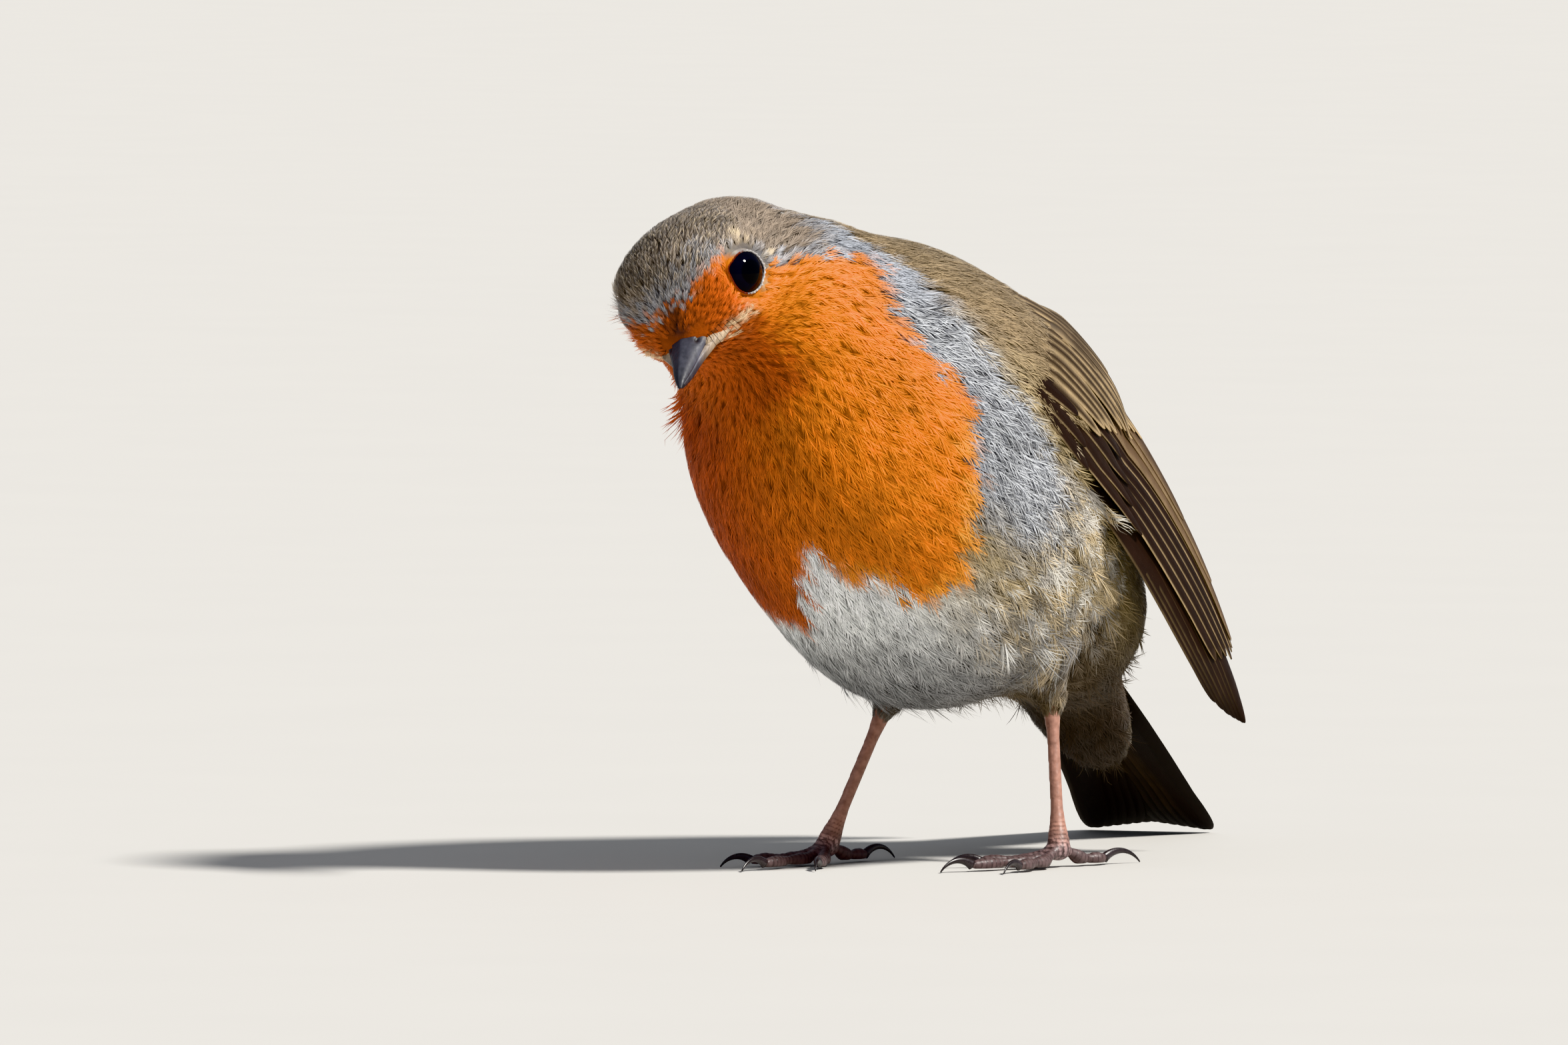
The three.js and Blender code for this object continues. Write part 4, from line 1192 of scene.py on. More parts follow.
def keep_roots(roots):
    """Leaves out roots under the bill, the lids and the wings' feathers, and at the cut shins."""
    off_body = plumage_volume().at(roots)[0] > 0.5
    forward, left, up = head_place(roots)
    under = (forward > BILL_BASE - 0.7) & (np.abs(left) < BILL_HALF_WIDTH + 0.2) & (np.abs(up + 1.3) < 2.1)
    ragged = 0.2 + 0.13 * np.abs(np.sin(roots @ np.array([7.1, 3.3, 5.7])))
    for side in SIDES.values():
        _, distance, height = eye_place(roots, side)
        under |= (distance < LID_RADIUS + LID_EDGE) & (height > -4)
        t, v, gap = wing_place(roots, side)
        on_wing = off_body | (v > np.interp(t, WING_EDGE_T, WING_EDGE_V))
        under |= (gap < 2.1) & (t > ragged) & on_wing
    return ~under


def build_coat():
    rng = np.random.default_rng(7)
    volume = dressed_volume()
    roots = spread_roots(*surface_net(volume), root_spacing, rng)
    roots = roots[keep_roots(roots)]
    normals = unit(volume.at(roots)[1])
    shape = feather_shape(roots, rng)
    strips, local = build_feathers(roots, normals, volume, rng, shape)
    tones = feather_tones(roots, normals, shape, local, rng)
    places = bake_places(roots, local)
    region = coat_region(roots)
    quads = np.array([[0, 1, 3, 2], [2, 3, 5, 4]])
    triangles = np.array([[4, 5, 6]])
    for index, (name, slot) in enumerate(COAT_SLOTS.items()):
        mine = region == index
        if mine.any():
            points, map_places = strips[mine].reshape(-1, 3), places[mine].reshape(-1, 2)
            bases = np.arange(0, len(points), BARB_CORNERS)[:, None, None]
            faces = [(bases + quads).reshape(-1, 4), (bases + triangles).reshape(-1, 3)]
            tones_here, maps = tones[mine].reshape(-1, 3), [("OFBake", map_places)]
            make_piece(f"coat_{name}", points, faces, coat_finish(), (), tones_here, maps)


# ---- flight feathers

VANE_ROWS, VANE_COLUMNS = 26, 7
VANE_THICKNESS, SHAFT_HEIGHT, VANE_ARCH = 0.16, 0.09, 0.1
BARB_LAG = 0.35  # how far the webs' edges trail their shaft, for each mm out
DIP = 0.8  # how deep a feather's root lies, in mm


def vane_faces():
    """The quads of a closed sheet with an upper side, an under side and a rim."""
    rows, columns = VANE_ROWS, VANE_COLUMNS
    i, j = np.meshgrid(np.arange(rows - 1), np.arange(columns - 1), indexing="ij")
    a = (i * columns + j).ravel()
    quads = np.stack([a, a + columns, a + columns + 1, a + 1], -1)
    under = quads[:, ::-1] + rows * columns
    grid = np.arange(rows * columns).reshape(rows, columns)
    ring = np.concatenate([grid[:, 0], grid[-1, 1:], grid[-2::-1, -1], grid[0, -2:0:-1]])
    after = np.roll(ring, -1)
    rim = np.stack([after, ring, ring + rows * columns, after + rows * columns], -1)
    return np.concatenate([quads, under, rim])


def add_vane(parts, surface, start, end, widths, height, look, rng, dip=DIP, sweep=0.0):
    """One long feather on a surface, from (t, v) to (t, v), as a closed thin sheet with a raised shaft.

    widths holds the half width, in mm, of the web towards smaller v and of the other. dip is how deep the
    root lies, and sweep how far the feather bends.
    """
    s = np.sin(pi / 2 * np.linspace(0, 1, VANE_ROWS))[:, None]
    w = np.linspace(-1, 1, VANE_COLUMNS)[None, :]
    t = mix(start[0], end[0], s)
    middle = mix(start[1], end[1], s) + np.sin(pi * s) * sweep
    outline = np.minimum(1, (s / 0.12 + 0.25)) * np.sqrt(np.clip(1 - s**look.point, 0, 1))
    outline = outline * (0.72 + 0.28 * np.sin(pi * np.minimum(1, s * 1.25)))
    outline = outline * (1 - 0.02 * rng.random((VANE_ROWS, 1)) * (s > 0.25))
    x = w * np.where(w < 0, *widths) * outline
    t_here = t + np.abs(x) * BARB_LAG / surface.length
    v = middle + x / np.maximum(surface.width(np.clip(t, 0, 1)), 0.9)
    top = height - dip * (1 - ramp(s, 0, 0.45)) + VANE_ARCH * (1 - w * w) + SHAFT_HEIGHT * (w == 0) * (1 - s)
    thin = VANE_THICKNESS * (0.35 + 0.65 * (1 - np.abs(w)))
    points = np.stack([surface.place(t_here, v, top), surface.place(t_here, v, top - thin)])

    centre = colour(look.centre)
    tone = mix(colour(look.web), centre, (ramp(1 - np.abs(w) + 0 * s, 0.2, 0.9) * look.dark)[..., None])
    edge = ramp(np.where(w < 0, -w, 0.75 * w) + 0 * s, 1 - look.rim, 1) * look.edge_share
    edge = edge * rng.uniform(0.65, 1.1) * (1 - 0.3 * rng.random((VANE_ROWS, 1)))
    tone = mix(tone, colour(look.edge), edge[..., None])
    tone = mix(tone, colour(look.tip), (ramp(s + 0 * w, 1 - look.cap, 1) * look.tip_share)[..., None])
    tone = mix(tone, centre * 0.8, ((w == 0) * 0.5 + 0 * s)[..., None])
    tone = tone * (1 + rng.normal(0, 0.06))
    along = s * (end[0] - start[0]) * surface.length
    where = np.stack(np.broadcast_arrays(x, along), -1)
    tones = np.clip([tone, tone * 0.8], 0, 1).reshape(-1, 3)
    parts.add(points, vane_faces(), tones=tones, where=np.stack([where, where]))


# How feathers of each kind are coloured: web, centre, edge and tip by name, how dark the centre is, the
# shares of web and length the edge and tip take, how much of both shows, and how bluntly the feather ends.
Look = namedtuple("Look", "web centre edge tip dark rim cap edge_share tip_share point")
PRIMARY = Look("wing_dark", "wing_dark", "wing_edge", "wing_dark", 0.5, 0.14, 0.3, 0.3, 1, 16)
SECOND = Look("wing_dark", "wing_dark", "wing_edge", "wing", 0.6, 0.36, 0.05, 0.95, 0.3, 9)
THIRD = Look("wing", "wing_dark", "wing_edge", "wing", 0.4, 0.3, 0.05, 0.4, 0.3, 9)
ALULA = Look("wing_dark", "wing_dark", "wing_edge", "wing_dark", 0.5, 0.3, 0.2, 0.8, 1, 7)
COVERT = Look("back", "wing_dark", "wing_edge", "wing_edge", 0.9, 0.5, 0.13, 0.6, 0.65, 7)
SCAPULAR = Look("back", "wing_dark", "back", "back", 0.75, 0.5, 0.1, 0.7, 1, 5)
RECTRIX = Look("tail", "tail", "wing", "tail", 0.6, 0.25, 0.1, 0.45, 1, 22)

PRIMARY_TIPS = (
    (0.9, 0.03), (0.932, 0.06), (0.956, 0.1), (0.972, 0.16), (0.983, 0.24), (0.99, 0.33), (0.992, 0.42),
)
# Rows of feathers on a wing: look, number, where the first and the last root lie, and their tips, half widths
# of both webs, heights of the first and the last, dip and sweep.
FLIGHT_ROWS = (
    (SECOND, 6, ((0.3, 0.32), (0.3, 0.56)), ((0.83, 0.3), (0.88, 0.86)), (1.2, 2.8), (0.2, 0.7), DIP, 0.02),
    (THIRD, 3, ((0.28, 0.64), (0.28, 0.88)), ((0.865, 0.9), (0.66, 0.9)), (3.3, 2.4), (0.9, 1.2), DIP, 0.05),
)
COVERT_ROWS = (
    (ALULA, 4, ((0.24, 0.26), (0.24, 0.42)), ((0.53, 0.27), (0.45, 0.53)), (0.95, 1.6), (0.45, 0.75), DIP, 0),
    (ALULA, 3, ((0.14, 0.24), (0.16, 0.34)), ((0.39, 0.21), (0.33, 0.36)), (1.1, 1.6), (0.85, 1.1), DIP, 0),
    (COVERT, 10, ((0.14, 0.36), (0.16, 0.9)), ((0.38, 0.42), (0.52, 0.92)), (0.95, 1.5), (1.05, 1.5), DIP, 0),
    (SCAPULAR, 4, ((0.2, 0.8), (0.2, 0.94)), ((0.37, 0.78), (0.42, 0.96)), (2.0, 2.0), (1.4, 1.5), 1.3, 0),
)


def lay_row(parts, surface, rng, look, count, starts, ends, widths, heights, dip, sweep):
    """A row of overlapping vanes, from the first to the last."""
    for n in range(count):
        share = n / (count - 1)
        start, end = (mix(*np.array(pair), share) + rng.normal(0, 0.008, 2) for pair in (starts, ends))
        add_vane(parts, surface, start, end, widths, mix(*heights, share), look, rng, dip, sweep)


def build_wing(name):
    side = SIDES[name]
    surface = wing_surface(side)
    rng = np.random.default_rng(21 + side)
    flight, coverts = Parts(), Parts()
    for n, tip in enumerate(PRIMARY_TIPS):
        root, height = (0.34, 0.24 + 0.04 * n), -0.62 + 0.1 * n
        add_vane(flight, surface, root, tip, (1.35, 2.6), height, PRIMARY, rng, sweep=0.03)
    for rows, parts in ((FLIGHT_ROWS, flight), (COVERT_ROWS, coverts)):
        for row in rows:
            lay_row(parts, surface, rng, *row)
    for parts, kind, node in ((flight, "flight_feathers", "flight"), (coverts, "coverts", "shoulder")):
        replaced = [f"wing_{name}_{node}"]
        parts.piece(f"wing_{name}_{kind}", vane_finish(), "flight_feathers", replaced, "Vane")


def build_tail():
    """Twelve feathers, from the outer pair to the middle one, which lies on top."""
    rng = np.random.default_rng(33)
    feathers = Parts()
    for n in range(5, -1, -1):
        for side, webs in ((1, (3.6, 2.6)), (-1, (2.6, 3.6))):
            root = (0.02, 0.5 + side * (0.03 + 0.035 * n))
            tip = (0.985 + 0.002 * n, 0.5 + side * (0.05 + 0.062 * n))
            height = 0.32 - 0.11 * n + 0.04 * side
            add_vane(feathers, tail_surface(), root, tip, webs, height, RECTRIX, rng, dip=0)
    feathers.piece("tail_feathers", vane_finish(), "flight_feathers", ["tail"], "Vane")


# ---- eyes

EYE_SINK = {"left": 0, "right": 0.45}  # the narrowed right eye lies a little deeper
EYE_ROWS, EYE_COLUMNS, PUPIL_RADIUS = 40, 64, 1.5
LID_STATIONS, LID_BEADS = 96, 32
# The lid's section, from the opening outwards: how far out, and how far up along the eye's axis.
LID_PROFILE = (
    (0.02, -0.5), (0.0, -0.12), (0.04, 0.02), (0.13, 0.09), (0.24, 0.07), (0.33, -0.06), (0.42, -0.4),
    (0.55, -1.0), (0.8, -1.8),
)
# The eye's two corners: how far they reach, at what angle in degrees, and how wide.
LID_CORNERS = ((0.34, 52, 0.1), (0.16, 215, 0.12))


def build_eye(name):
    side, sink = SIDES[name], EYE_SINK[name]
    out = look_axis(side)
    up = unit(HEAD_AXES[2] - dots(HEAD_AXES[2], out) * out)
    forward = unit(HEAD_AXES[0] - dots(HEAD_AXES[0], out) * out - dots(HEAD_AXES[0], up) * up)
    centre = eye_centre(side) - out * sink
    polar = pi * np.linspace(0.004, 0.996, EYE_ROWS)[:, None, None]
    around = 2 * pi * np.arange(EYE_COLUMNS)[None, :, None] / EYE_COLUMNS * side
    ring = np.sin(polar) * (np.cos(around) * forward + np.sin(around) * up)
    hidden = 1 - 0.14 * ramp(polar, 0.92, 1.15)
    points, quads, triangles = loft(centre + EYE_RADIUS * hidden * (ring + np.cos(polar) * out))
    pupil = norm(points - (centre + EYE_RADIUS * out)) < PUPIL_RADIUS
    tones = colour("eye") * np.where(pupil, 0.25, 1.6)[:, None]
    make_piece(f"eyeball_{name}", points, [quads, triangles], eye_finish(), [f"eye_{name}"], tones)

    rng = np.random.default_rng(50 + side)
    angle = 2 * pi * np.arange(LID_STATIONS) / LID_STATIONS
    corner, rear = (
        reach * np.exp(-(np.angle(np.exp(1j * (angle - radians(place)))) ** 2) / wide)
        for reach, place, wide in LID_CORNERS
    )
    beads = 0.05 * np.cos(angle * LID_BEADS) + rng.normal(0, 0.02, LID_STATIONS)
    spokes = np.cos(angle)[:, None] * forward + np.sin(angle)[:, None] * up
    rings = []
    for reach, height in LID_PROFILE:
        beaded = beads * (0.02 < reach < 0.3)
        radius = LID_RADIUS - 0.02 + corner + rear + reach + beaded
        rise = height - corner * 0.4 + beaded - sink
        rings.append(on_look(side, 0) + radius[:, None] * spokes + rise[:, None] * out)
    rings = np.array(rings)
    if side < 0:
        rings = rings[:, ::-1]
    here = np.arange(rings[..., 0].size).reshape(-1, LID_STATIONS)
    ahead = np.roll(here, -1, axis=1)
    faces = np.stack([here[:-1], here[1:], ahead[1:], ahead[:-1]], -1).reshape(-1, 4)
    # Painted light and shade round the lid: lighter towards one side and on each bead, and dark orange on the
    # other side.
    lit = mix(0.25, 1, ramp(-np.cos(angle - radians(35)), -0.5, 0.4)) * (1 + 0.35 * np.cos(angle * LID_BEADS))
    lit = np.broadcast_to(lit[None, :, None], (*rings.shape[:2], 1))
    tones = mix(colour("lid") * lit, colour("bib_shade") * 0.3, 1 - ramp(lit, 0.25, 0.7))
    # Painted shade: the two inner rows, tucked against the eyeball, darkened.
    tones[:2] *= 0.12
    tones[5:] = markings(rings[5:]) * 0.8
    points, tones = rings.reshape(-1, 3), tones.reshape(-1, 3)
    make_piece(f"eyelids_{name}", points, [faces], skin_finish(), (), tones)


# ---- bill

BILL_ROWS, BILL_SIDES = 56, 30
NOSTRIL, NOSTRIL_SIZE = (0.14, 0.62), (0.055, 0.17)  # share along the bill, and angle up its side
# The fleshy corner of the left side of the mouth, from the bill backwards: forward, left and up on the head.
MOUTH_CORNER = ((10.6, 2.2, -1.7), (9.8, 3.1, -1.9), (9.0, 3.9, -2.15), (8.3, 4.6, -2.35), (7.6, 5.3, -2.5))
BRISTLES = 7


def mandible(upper):
    """Rings of one mandible, and their colours. Upper is 1 and lower is -1."""
    reach = BILL_LENGTH if upper > 0 else BILL_LENGTH - BILL_OVERHANG
    n = np.linspace(0, 1, BILL_ROWS)
    forward = mix(BILL_ROOT, BILL_BASE + reach, np.sin(n * 1.5) / sin(1.5))[:, None]
    share = np.clip((forward - BILL_BASE) / BILL_LENGTH, 0, 1)
    mouth = mix(*MOUTH_HEIGHT, share) - np.maximum(0, share - 0.9) * 1.6 - 0.125 * np.sin(pi * share) ** 2
    crown = BILL_DEPTH[upper] * (1 - 0.42 * share - 0.5 * share**4) + 0.03
    flare = 1 + (0.1 if upper > 0 else 0.56) * (1 - ramp(share, 0, 0.5))
    half = BILL_HALF_WIDTH * (1 - 0.78 * share - 0.14 * share**6) * flare
    angle = pi * np.arange(BILL_SIDES + 1)[None] / BILL_SIDES
    rise = np.sin(angle)
    keel = 1 + 0.07 * np.exp(-((angle - pi / 2) ** 2) / 0.05)
    height = mouth + upper * (0.04 + rise**0.85 * crown * keel)
    lip = np.exp(-((rise - 0.1) ** 2) / 0.01) * 0.05 * (1 - share)
    left = half * np.cos(angle) * (1 - 0.1 * rise**4) + np.sign(np.cos(angle)) * lip
    pale = np.exp(-(rise**2) / 0.02) * (1 - ramp(share, 0.35, 0.8))
    tone = colour("bill") * ((1 + 0.9 * pale) * (1 - 0.45 * ramp(share, 0.5, 1)))[..., None]
    if upper > 0:
        for place in (NOSTRIL[1], pi - NOSTRIL[1]):
            along, round_it = (share - NOSTRIL[0]) / NOSTRIL_SIZE[0], (angle - place) / NOSTRIL_SIZE[1]
            slit = np.exp(-(along**2) - round_it**2)
            left = left * (1 - 0.22 * slit)
            height = height - 0.12 * slit
            # Painted shade in the nostrils: each slit darkened.
            tone = tone * (1 - 0.85 * np.clip(slit * 1.4, 0, 1)[..., None])
        base = 0.6 * (1 - ramp(share, 0, 0.16)) * (1 - ramp(rise, 0.1, 0.5))
    else:
        base = 0.9 * (1 - ramp(share, 0.04, 0.5)) * (1 - 0.6 * ramp(rise, 0.6, 1))
    return on_head(forward, left, height)[:, ::-upper], tint(tone, "gape", base)[:, ::-upper]


def build_bill():
    for upper, name in ((1, "upper"), (-1, "lower")):
        rings, tone = mandible(upper)
        points, quads, triangles = loft(rings)
        tones = np.clip(np.concatenate([tone.reshape(-1, 3), tone[[0, -1]].mean(1)]), 0, 1)
        horn, replaced = horn_finish("robin_bill", 0.55, 0.06), [f"bill_{name}"]
        make_piece(f"mandible_{name}", points, [quads, triangles], horn, replaced, tones)

    corners, bristles = Parts(), Parts()
    rng = np.random.default_rng(61)
    for side in SIDES.values():
        path = np.array([on_head(f, side * l, u) for f, l, u in MOUTH_CORNER])
        n = np.linspace(0, 1, 30)
        stations = np.arange(len(path))
        fine = np.stack([np.interp(n * stations[-1], stations, path[:, i]) for i in range(3)], -1)
        fine[1:-1] = (fine[:-2] + fine[1:-1] * 2 + fine[2:]) / 4
        fine = mix(plumage_volume().settle(fine, -0.25 - 0.75 * (side < 0), 1), fine, 0.3)
        radii = mix(1.0, 0.3, n) * np.sin(pi * (0.1 + 0.86 * n)) ** 0.5
        corners.add(*loft(tube(fine, radii, 10, HEAD_AXES[2])), colour("gape"))
    corners.piece("mouth_corners", skin_finish(), "leg_skin")

    q = np.linspace(0, 1, 8)[:, None]
    for side in SIDES.values():
        for n in range(BRISTLES):
            root = on_head(9.2 - 0.45 * n, side * (2.7 + 0.36 * n), -0.9 + 0.28 * rng.random())
            way = unit(np.array([0.75, side * (0.45 + 0.06 * n), -0.2 + 0.25 * rng.random()]) @ HEAD_AXES)
            size = (2.2 + rng.random() * 1.2) * (1 if side > 0 else 0.45)
            path = root + way * size * q + (0.5 * HEAD_AXES[0] - 0.9 * HEAD_AXES[2]) * q**2
            hair = tube(path, 0.055 * (1 - 0.7 * q[:, 0]), 5, HEAD_AXES[2])
            bristles.add(*loft(hair), colour("claw") * 0.6)
    bristles.piece("bristles", horn_finish("robin_bristles", 0.5, 0.0), "plumage_brown")


# ---- legs

LEG_CELL, SOLE = 0.17, 0.02
# Spacing and depth of the horny plates down the shank, over the ankle and along the toes.
SHANK_PLATES, ANKLE_PLATES, TOE_PLATES = (2.3, 0.07), (0.55, 0.08), (0.72, 0.14)
CLAW_SIDES, CLAW_FLATTENING = 14, 0.72


def toe_path(side, leg, toe, steps=28):
    """A toe's path from its joint with the foot to its tip, its shares, and its heading."""
    turn, length, _ = TOES[toe]
    angle = radians(leg["turn"] + turn) * -side
    heading = np.array([sin(angle), -cos(angle), 0])
    t = np.linspace(0, 1, steps)
    out = mix(0.2, length, t)
    drop = smooth(out / 4.6)
    arch = 0.3 * np.sin(pi * 2.5 * t) ** 2
    path = np.array([*leg["foot"], 0]) + out[:, None] * heading
    path[:, 2] = mix(FOOT_HEIGHT - 0.9, TOE_HEIGHT + 0.12, drop) + arch * drop * (1 - t)
    return path, t, heading


def lengths_along(path):
    return np.concatenate([[0], np.cumsum(norm(np.diff(path, axis=0)))])


def rod_field(path, radii, up, plates):
    """A field round a path. plates holds the spacing and depth of the plates on the side that faces up."""
    lengths = lengths_along(path)
    spacing, depth = plates

    def field(p):
        best = np.full(p.shape[:-1], OUTSIDE)
        for n in range(len(path) - 1):
            line = path[n + 1] - path[n]
            t = np.clip((p - path[n]) @ line / (line @ line), 0, 1)
            off = p - (path[n] + t[..., None] * line)
            distance = norm(off)
            facing = np.clip((off @ up) / np.maximum(distance, 1e-6), -1, 1)
            wave = (mix(lengths[n], lengths[n + 1], t) / spacing) % 1
            plate = depth * (wave**0.6 - 0.6) * ramp(facing, -0.1, 0.5)
            best = np.minimum(best, distance - mix(radii[n], radii[n + 1], t) - plate)
        return best

    return field


def plate_shade(points, path, spacing):
    """Darker in the grooves between the plates along a path, and how near each point is to it."""
    gaps = norm(points[:, None] - path[None])
    nearest = gaps.argmin(1)
    ahead = unit(np.gradient(path, axis=0))[nearest]
    place = lengths_along(path)[nearest] + np.sum((points - path[nearest]) * ahead, axis=-1)
    return 0.55 + 0.75 * ramp((place / spacing) % 1, 0, 0.35), gaps.min(1)


def build_leg(name):
    side, leg = SIDES[name], LEGS[name]
    foot = np.array([*leg["foot"], FOOT_HEIGHT - 0.7])
    shin = np.array(leg["shin"], float)
    low, high = foot - [15, 16, foot[2] - 2 * SOLE], foot + [15, 10, shin[2] + 3 - foot[2]]
    volume = Volume(low, high, LEG_CELL)
    top, middle, bottom = TARSUS_RADII
    t = np.linspace(-0.1, 1, 24)
    path = mix(shin, foot, t[:, None])
    upper, lower = mix(top, middle, smooth(t * 4)), mix(middle, bottom, smooth(t * 2 - 1) ** 4)
    radii = np.where(t < 0.5, upper, lower) - 0.06
    front = unit(np.array([0, -1, 0.2]))
    volume.add(rod_field(path, radii, front, SHANK_PLATES), path, 2.2, 0.01)
    ankle = path[-6:]
    volume.add(rod_field(ankle, radii[-6:] + 0.05, front, ANKLE_PLATES), ankle, 2.2, 0.05)
    plated = [(ankle, ANKLE_PLATES[0])]
    claws = Parts()
    for toe, (_, _, size) in TOES.items():
        path, t, heading = toe_path(side, leg, toe)
        knobs = 0.95 + 0.2 * np.cos(pi * 5 * t) - 0.16 * t
        radii = (TOE_RADIUS - 0.1) * knobs * (1 - 0.25 * ramp(t, 0.9, 1))
        volume.add(rod_field(path, radii, np.array([0, 0, 1.0]), TOE_PLATES), path, 1.8, 0.5)
        plated.append((path, TOE_PLATES[0]))
        add_claw(claws, path[-1], heading, size)
    volume.values[:, :, :2] = 1
    points, quads = surface_net(volume)
    points[:, 2] = np.maximum(points[:, 2], SOLE)
    tones = tint(np.broadcast_to(colour("leg"), points.shape), "toe", 1 - ramp(points[:, 2], 2.0, 6.0))
    for path, spacing in plated:
        shade, gap = plate_shade(points, path, spacing)
        tones = tones * mix(1, shade, (gap < 1.8) * (1 - ramp(points[:, 2], 4.5, 7)))[:, None]
    replaced = [f"tarsus_{name}"] + [f"toe_{name}_{toe}" for toe in TOES]
    make_piece(f"leg_{name}", points, [quads], leg_finish(), replaced, tones)
    horn, replaced = horn_finish("robin_claws", 0.32, 0.3), [f"claw_{name}_{toe}" for toe in TOES]
    claws.piece(f"claws_{name}", horn, "claw_horn", replaced)


def add_claw(claws, toe_tip, heading, size):
    """A curved claw from a toe's tip down to the floor."""
    q = np.linspace(0, 1, 18)
    start, stop = (radians(a) for a in CLAW_ARC)
    angle = mix(start, stop, q)
    scale = (size + 0.5) / (start - stop)
    base = toe_tip - heading * 0.25
    path = base + (scale * (sin(start) - np.sin(angle)))[:, None] * heading
    rise = scale * (np.cos(angle) - cos(start))
    path[:, 2] += rise + (0.16 - base[2] - rise[-1]) * q
    sideways = np.cross(heading, [0, 0, 1])
    rings = tube(path, mix(*CLAW_RADII, q**0.8), CLAW_SIDES, sideways, CLAW_FLATTENING)
    points, quads, triangles = loft(rings)
    points[:, 2] = np.maximum(points[:, 2], SOLE)
    shade = np.concatenate([np.repeat(1.5 - 0.9 * q, CLAW_SIDES), [1.5, 0.6]])
    claws.add(points, quads, triangles, np.clip(colour("claw") * shade[:, None], 0, 1))


# ---- stage

CAMERA_AZIMUTH, CAMERA_ELEVATION = 40, 3
CAMERA_DISTANCE = 2.4  # metres
VIEW_WIDTH = 196 * MM  # what the view's width shows at the bird
VIEW_CENTRE = (-19.6, 42.96)  # the view's middle, right of and above the floor under the breast, in mm
SENSOR_WIDTH, VIEW_REACH = 36, 30
FLOOR_RADIUS = 12  # metres
# Where each light stands by the view's right, up and backward, its spread in degrees, strength and colour.
SUNS = {
    "key_light": ((0.9, 1.15, 0.62), 8, 5.7, (1.0, 0.97, 0.92)),
    "fill_light": ((-1.0, 0.8, 0.9), 60, 0.35, (0.85, 0.92, 1.0)),
}
SKY_COLOUR, SKY_STRENGTH = (0.88, 0.92, 1.0, 1), 0.36


def view_axes():
    around, above = radians(CAMERA_AZIMUTH), radians(CAMERA_ELEVATION)
    right = np.array([cos(around), sin(around), 0])
    up = np.array([-sin(around) * sin(above), cos(around) * sin(above), cos(above)])
    return np.array([right, up, np.cross(right, up)])


def put_in_scene(name, data, turn=None, place=(0, 0, 0)):
    item = bpy.data.objects.new(name, data)
    bpy.context.scene.collection.objects.link(item)
    if turn is not None:
        item.matrix_world = Matrix.Translation(Vector(place)) @ turn.to_4x4()
    return item


def build_stage():
    scene = bpy.context.scene
    axes = view_axes()
    data = bpy.data.cameras.new("camera")
    data.sensor_width = SENSOR_WIDTH
    data.lens = SENSOR_WIDTH * CAMERA_DISTANCE / VIEW_WIDTH
    data.clip_end = VIEW_REACH
    place = in_frame(VIEW_CENTRE @ axes[:2]) + CAMERA_DISTANCE * axes[2]
    scene.camera = put_in_scene("camera", data, Matrix(axes).transposed(), place)

    mesh = bpy.data.meshes.new("stage_floor")
    around = np.linspace(0, 2 * pi, 64, endpoint=False)
    mesh.from_pydata([(FLOOR_RADIUS * cos(a), FLOOR_RADIUS * sin(a), 0) for a in around], [], [range(64)])
    mesh.materials.append(floor_finish())
    put_in_scene("stage_floor", mesh)

    for name, (toward, spread, strength, tone) in SUNS.items():
        lamp = bpy.data.lights.new(name, "SUN")
        lamp.angle, lamp.energy, lamp.color = radians(spread), strength, tone
        way = Vector(toward @ axes)
        put_in_scene(name, lamp, way.to_track_quat("Z", "Y").to_matrix(), way)
    scene.view_settings.view_transform = "Khronos PBR Neutral"
    scene.world = bpy.data.worlds.new("studio")
    scene.world.use_nodes = True
    sky = scene.world.node_tree.nodes["Background"].inputs
    sky["Color"].default_value = SKY_COLOUR
    sky["Strength"].default_value = SKY_STRENGTH


# ---- add-on


class RobinSizes(bpy.types.PropertyGroup):
    """Sizes of the dressed robin that a user may change."""

    spacing: FloatProperty(
        name="Feather spacing",
        description="Distance between small feathers, as a share of the usual",
        default=1.0,
        min=0.6,
        max=3.0,
        subtype="FACTOR",
    )


COLOUR_FIELDS = {
    key: FloatVectorProperty(
        name=label,
        description=f"Colour: {label.lower()}",
        default=value,
        subtype="COLOR",
        size=3,
        min=0,
        max=1,
    )
    for key, (label, value) in PALETTE.items()
}
RobinColours = type(
    "RobinColours",
    (bpy.types.PropertyGroup,),
    {"__doc__": "Colours of the dressed robin.", "__annotations__": COLOUR_FIELDS},
)


class ROBIN_OT_skin(bpy.types.Operator):
    """Makes the one skin under the coat, over head, neck, trunk, rump and thighs"""

    bl_idname = "robin.skin"
    bl_label = "Skin"

    def execute(self, context):
        build_skin()
        return {"FINISHED"}


class ROBIN_OT_coat(bpy.types.Operator):
    """Covers the skin and shoulders with small feathers"""

    bl_idname = "robin.coat"
    bl_label = "Coat"

    def execute(self, context):
        build_coat()
        return {"FINISHED"}


class ROBIN_OT_wings(bpy.types.Operator):
    """Lays the flight feathers and coverts of both folded wings"""

    bl_idname = "robin.wings"
    bl_label = "Wings"

    def execute(self, context):
        for name in SIDES:
            build_wing(name)
        return {"FINISHED"}


class ROBIN_OT_tail(bpy.types.Operator):
    """Lays the twelve tail feathers"""

    bl_idname = "robin.tail"
    bl_label = "Tail"

    def execute(self, context):
        build_tail()
        return {"FINISHED"}


class ROBIN_OT_eyes(bpy.types.Operator):
    """Makes the eyeballs and their lids"""

    bl_idname = "robin.eyes"
    bl_label = "Eyes"

    def execute(self, context):
        for name in SIDES:
            build_eye(name)
        return {"FINISHED"}


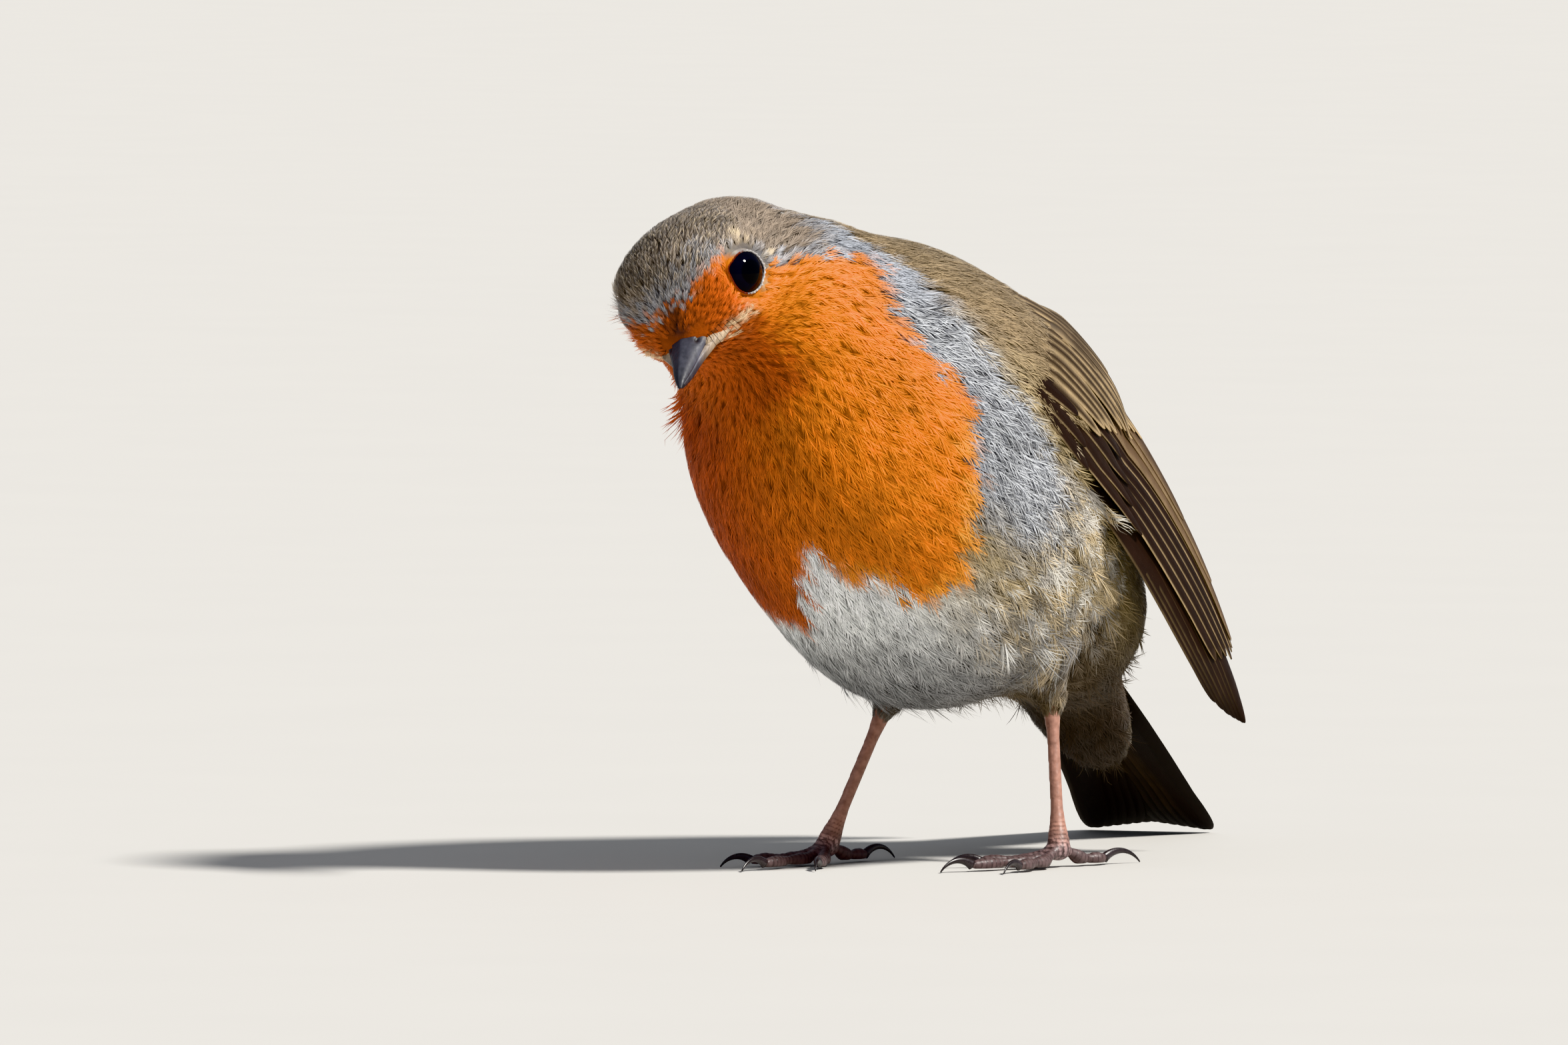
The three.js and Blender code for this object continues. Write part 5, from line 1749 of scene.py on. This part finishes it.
class ROBIN_OT_bill(bpy.types.Operator):
    """Makes both mandibles, the corners of the mouth and the bristles"""

    bl_idname = "robin.bill"
    bl_label = "Bill"

    def execute(self, context):
        build_bill()
        return {"FINISHED"}


class ROBIN_OT_legs(bpy.types.Operator):
    """Makes shanks, toes and claws"""

    bl_idname = "robin.legs"
    bl_label = "Legs"

    def execute(self, context):
        for name in SIDES:
            build_leg(name)
        return {"FINISHED"}


class ROBIN_OT_stage(bpy.types.Operator):
    """Sets the camera, the floor and the lights"""

    bl_idname = "robin.stage"
    bl_label = "Stage"

    def execute(self, context):
        build_stage()
        return {"FINISHED"}


OPERATORS = (
    ROBIN_OT_stage,
    ROBIN_OT_skin,
    ROBIN_OT_coat,
    ROBIN_OT_wings,
    ROBIN_OT_tail,
    ROBIN_OT_eyes,
    ROBIN_OT_bill,
    ROBIN_OT_legs,
)


class ROBIN_PT_panel(bpy.types.Panel):
    """Lists the robin's pieces, sizes and colours"""

    bl_label = "Robin"
    bl_idname = "ROBIN_PT_panel"
    bl_space_type = "VIEW_3D"
    bl_region_type = "UI"
    bl_category = "Robin"

    def draw(self, context):
        for operator in OPERATORS:
            self.layout.operator(operator.bl_idname)
        self.layout.prop(context.scene.robin_sizes, "spacing")
        for key in PALETTE:
            self.layout.prop(context.scene.robin_colours, key)


CLASSES = (RobinSizes, RobinColours, *OPERATORS, ROBIN_PT_panel)


def register():
    for item in CLASSES:
        bpy.utils.register_class(item)
    bpy.types.Scene.robin_sizes = PointerProperty(type=RobinSizes)
    bpy.types.Scene.robin_colours = PointerProperty(type=RobinColours)


def unregister():
    del bpy.types.Scene.robin_colours
    del bpy.types.Scene.robin_sizes
    for item in reversed(CLASSES):
        bpy.utils.unregister_class(item)


def main():
    register()
    bpy.ops.robin.stage()
    bpy.ops.robin.skin()
    bpy.ops.robin.coat()
    bpy.ops.robin.wings()
    bpy.ops.robin.tail()
    bpy.ops.robin.eyes()
    bpy.ops.robin.bill()
    bpy.ops.robin.legs()


if __name__ == "__main__":
    main()
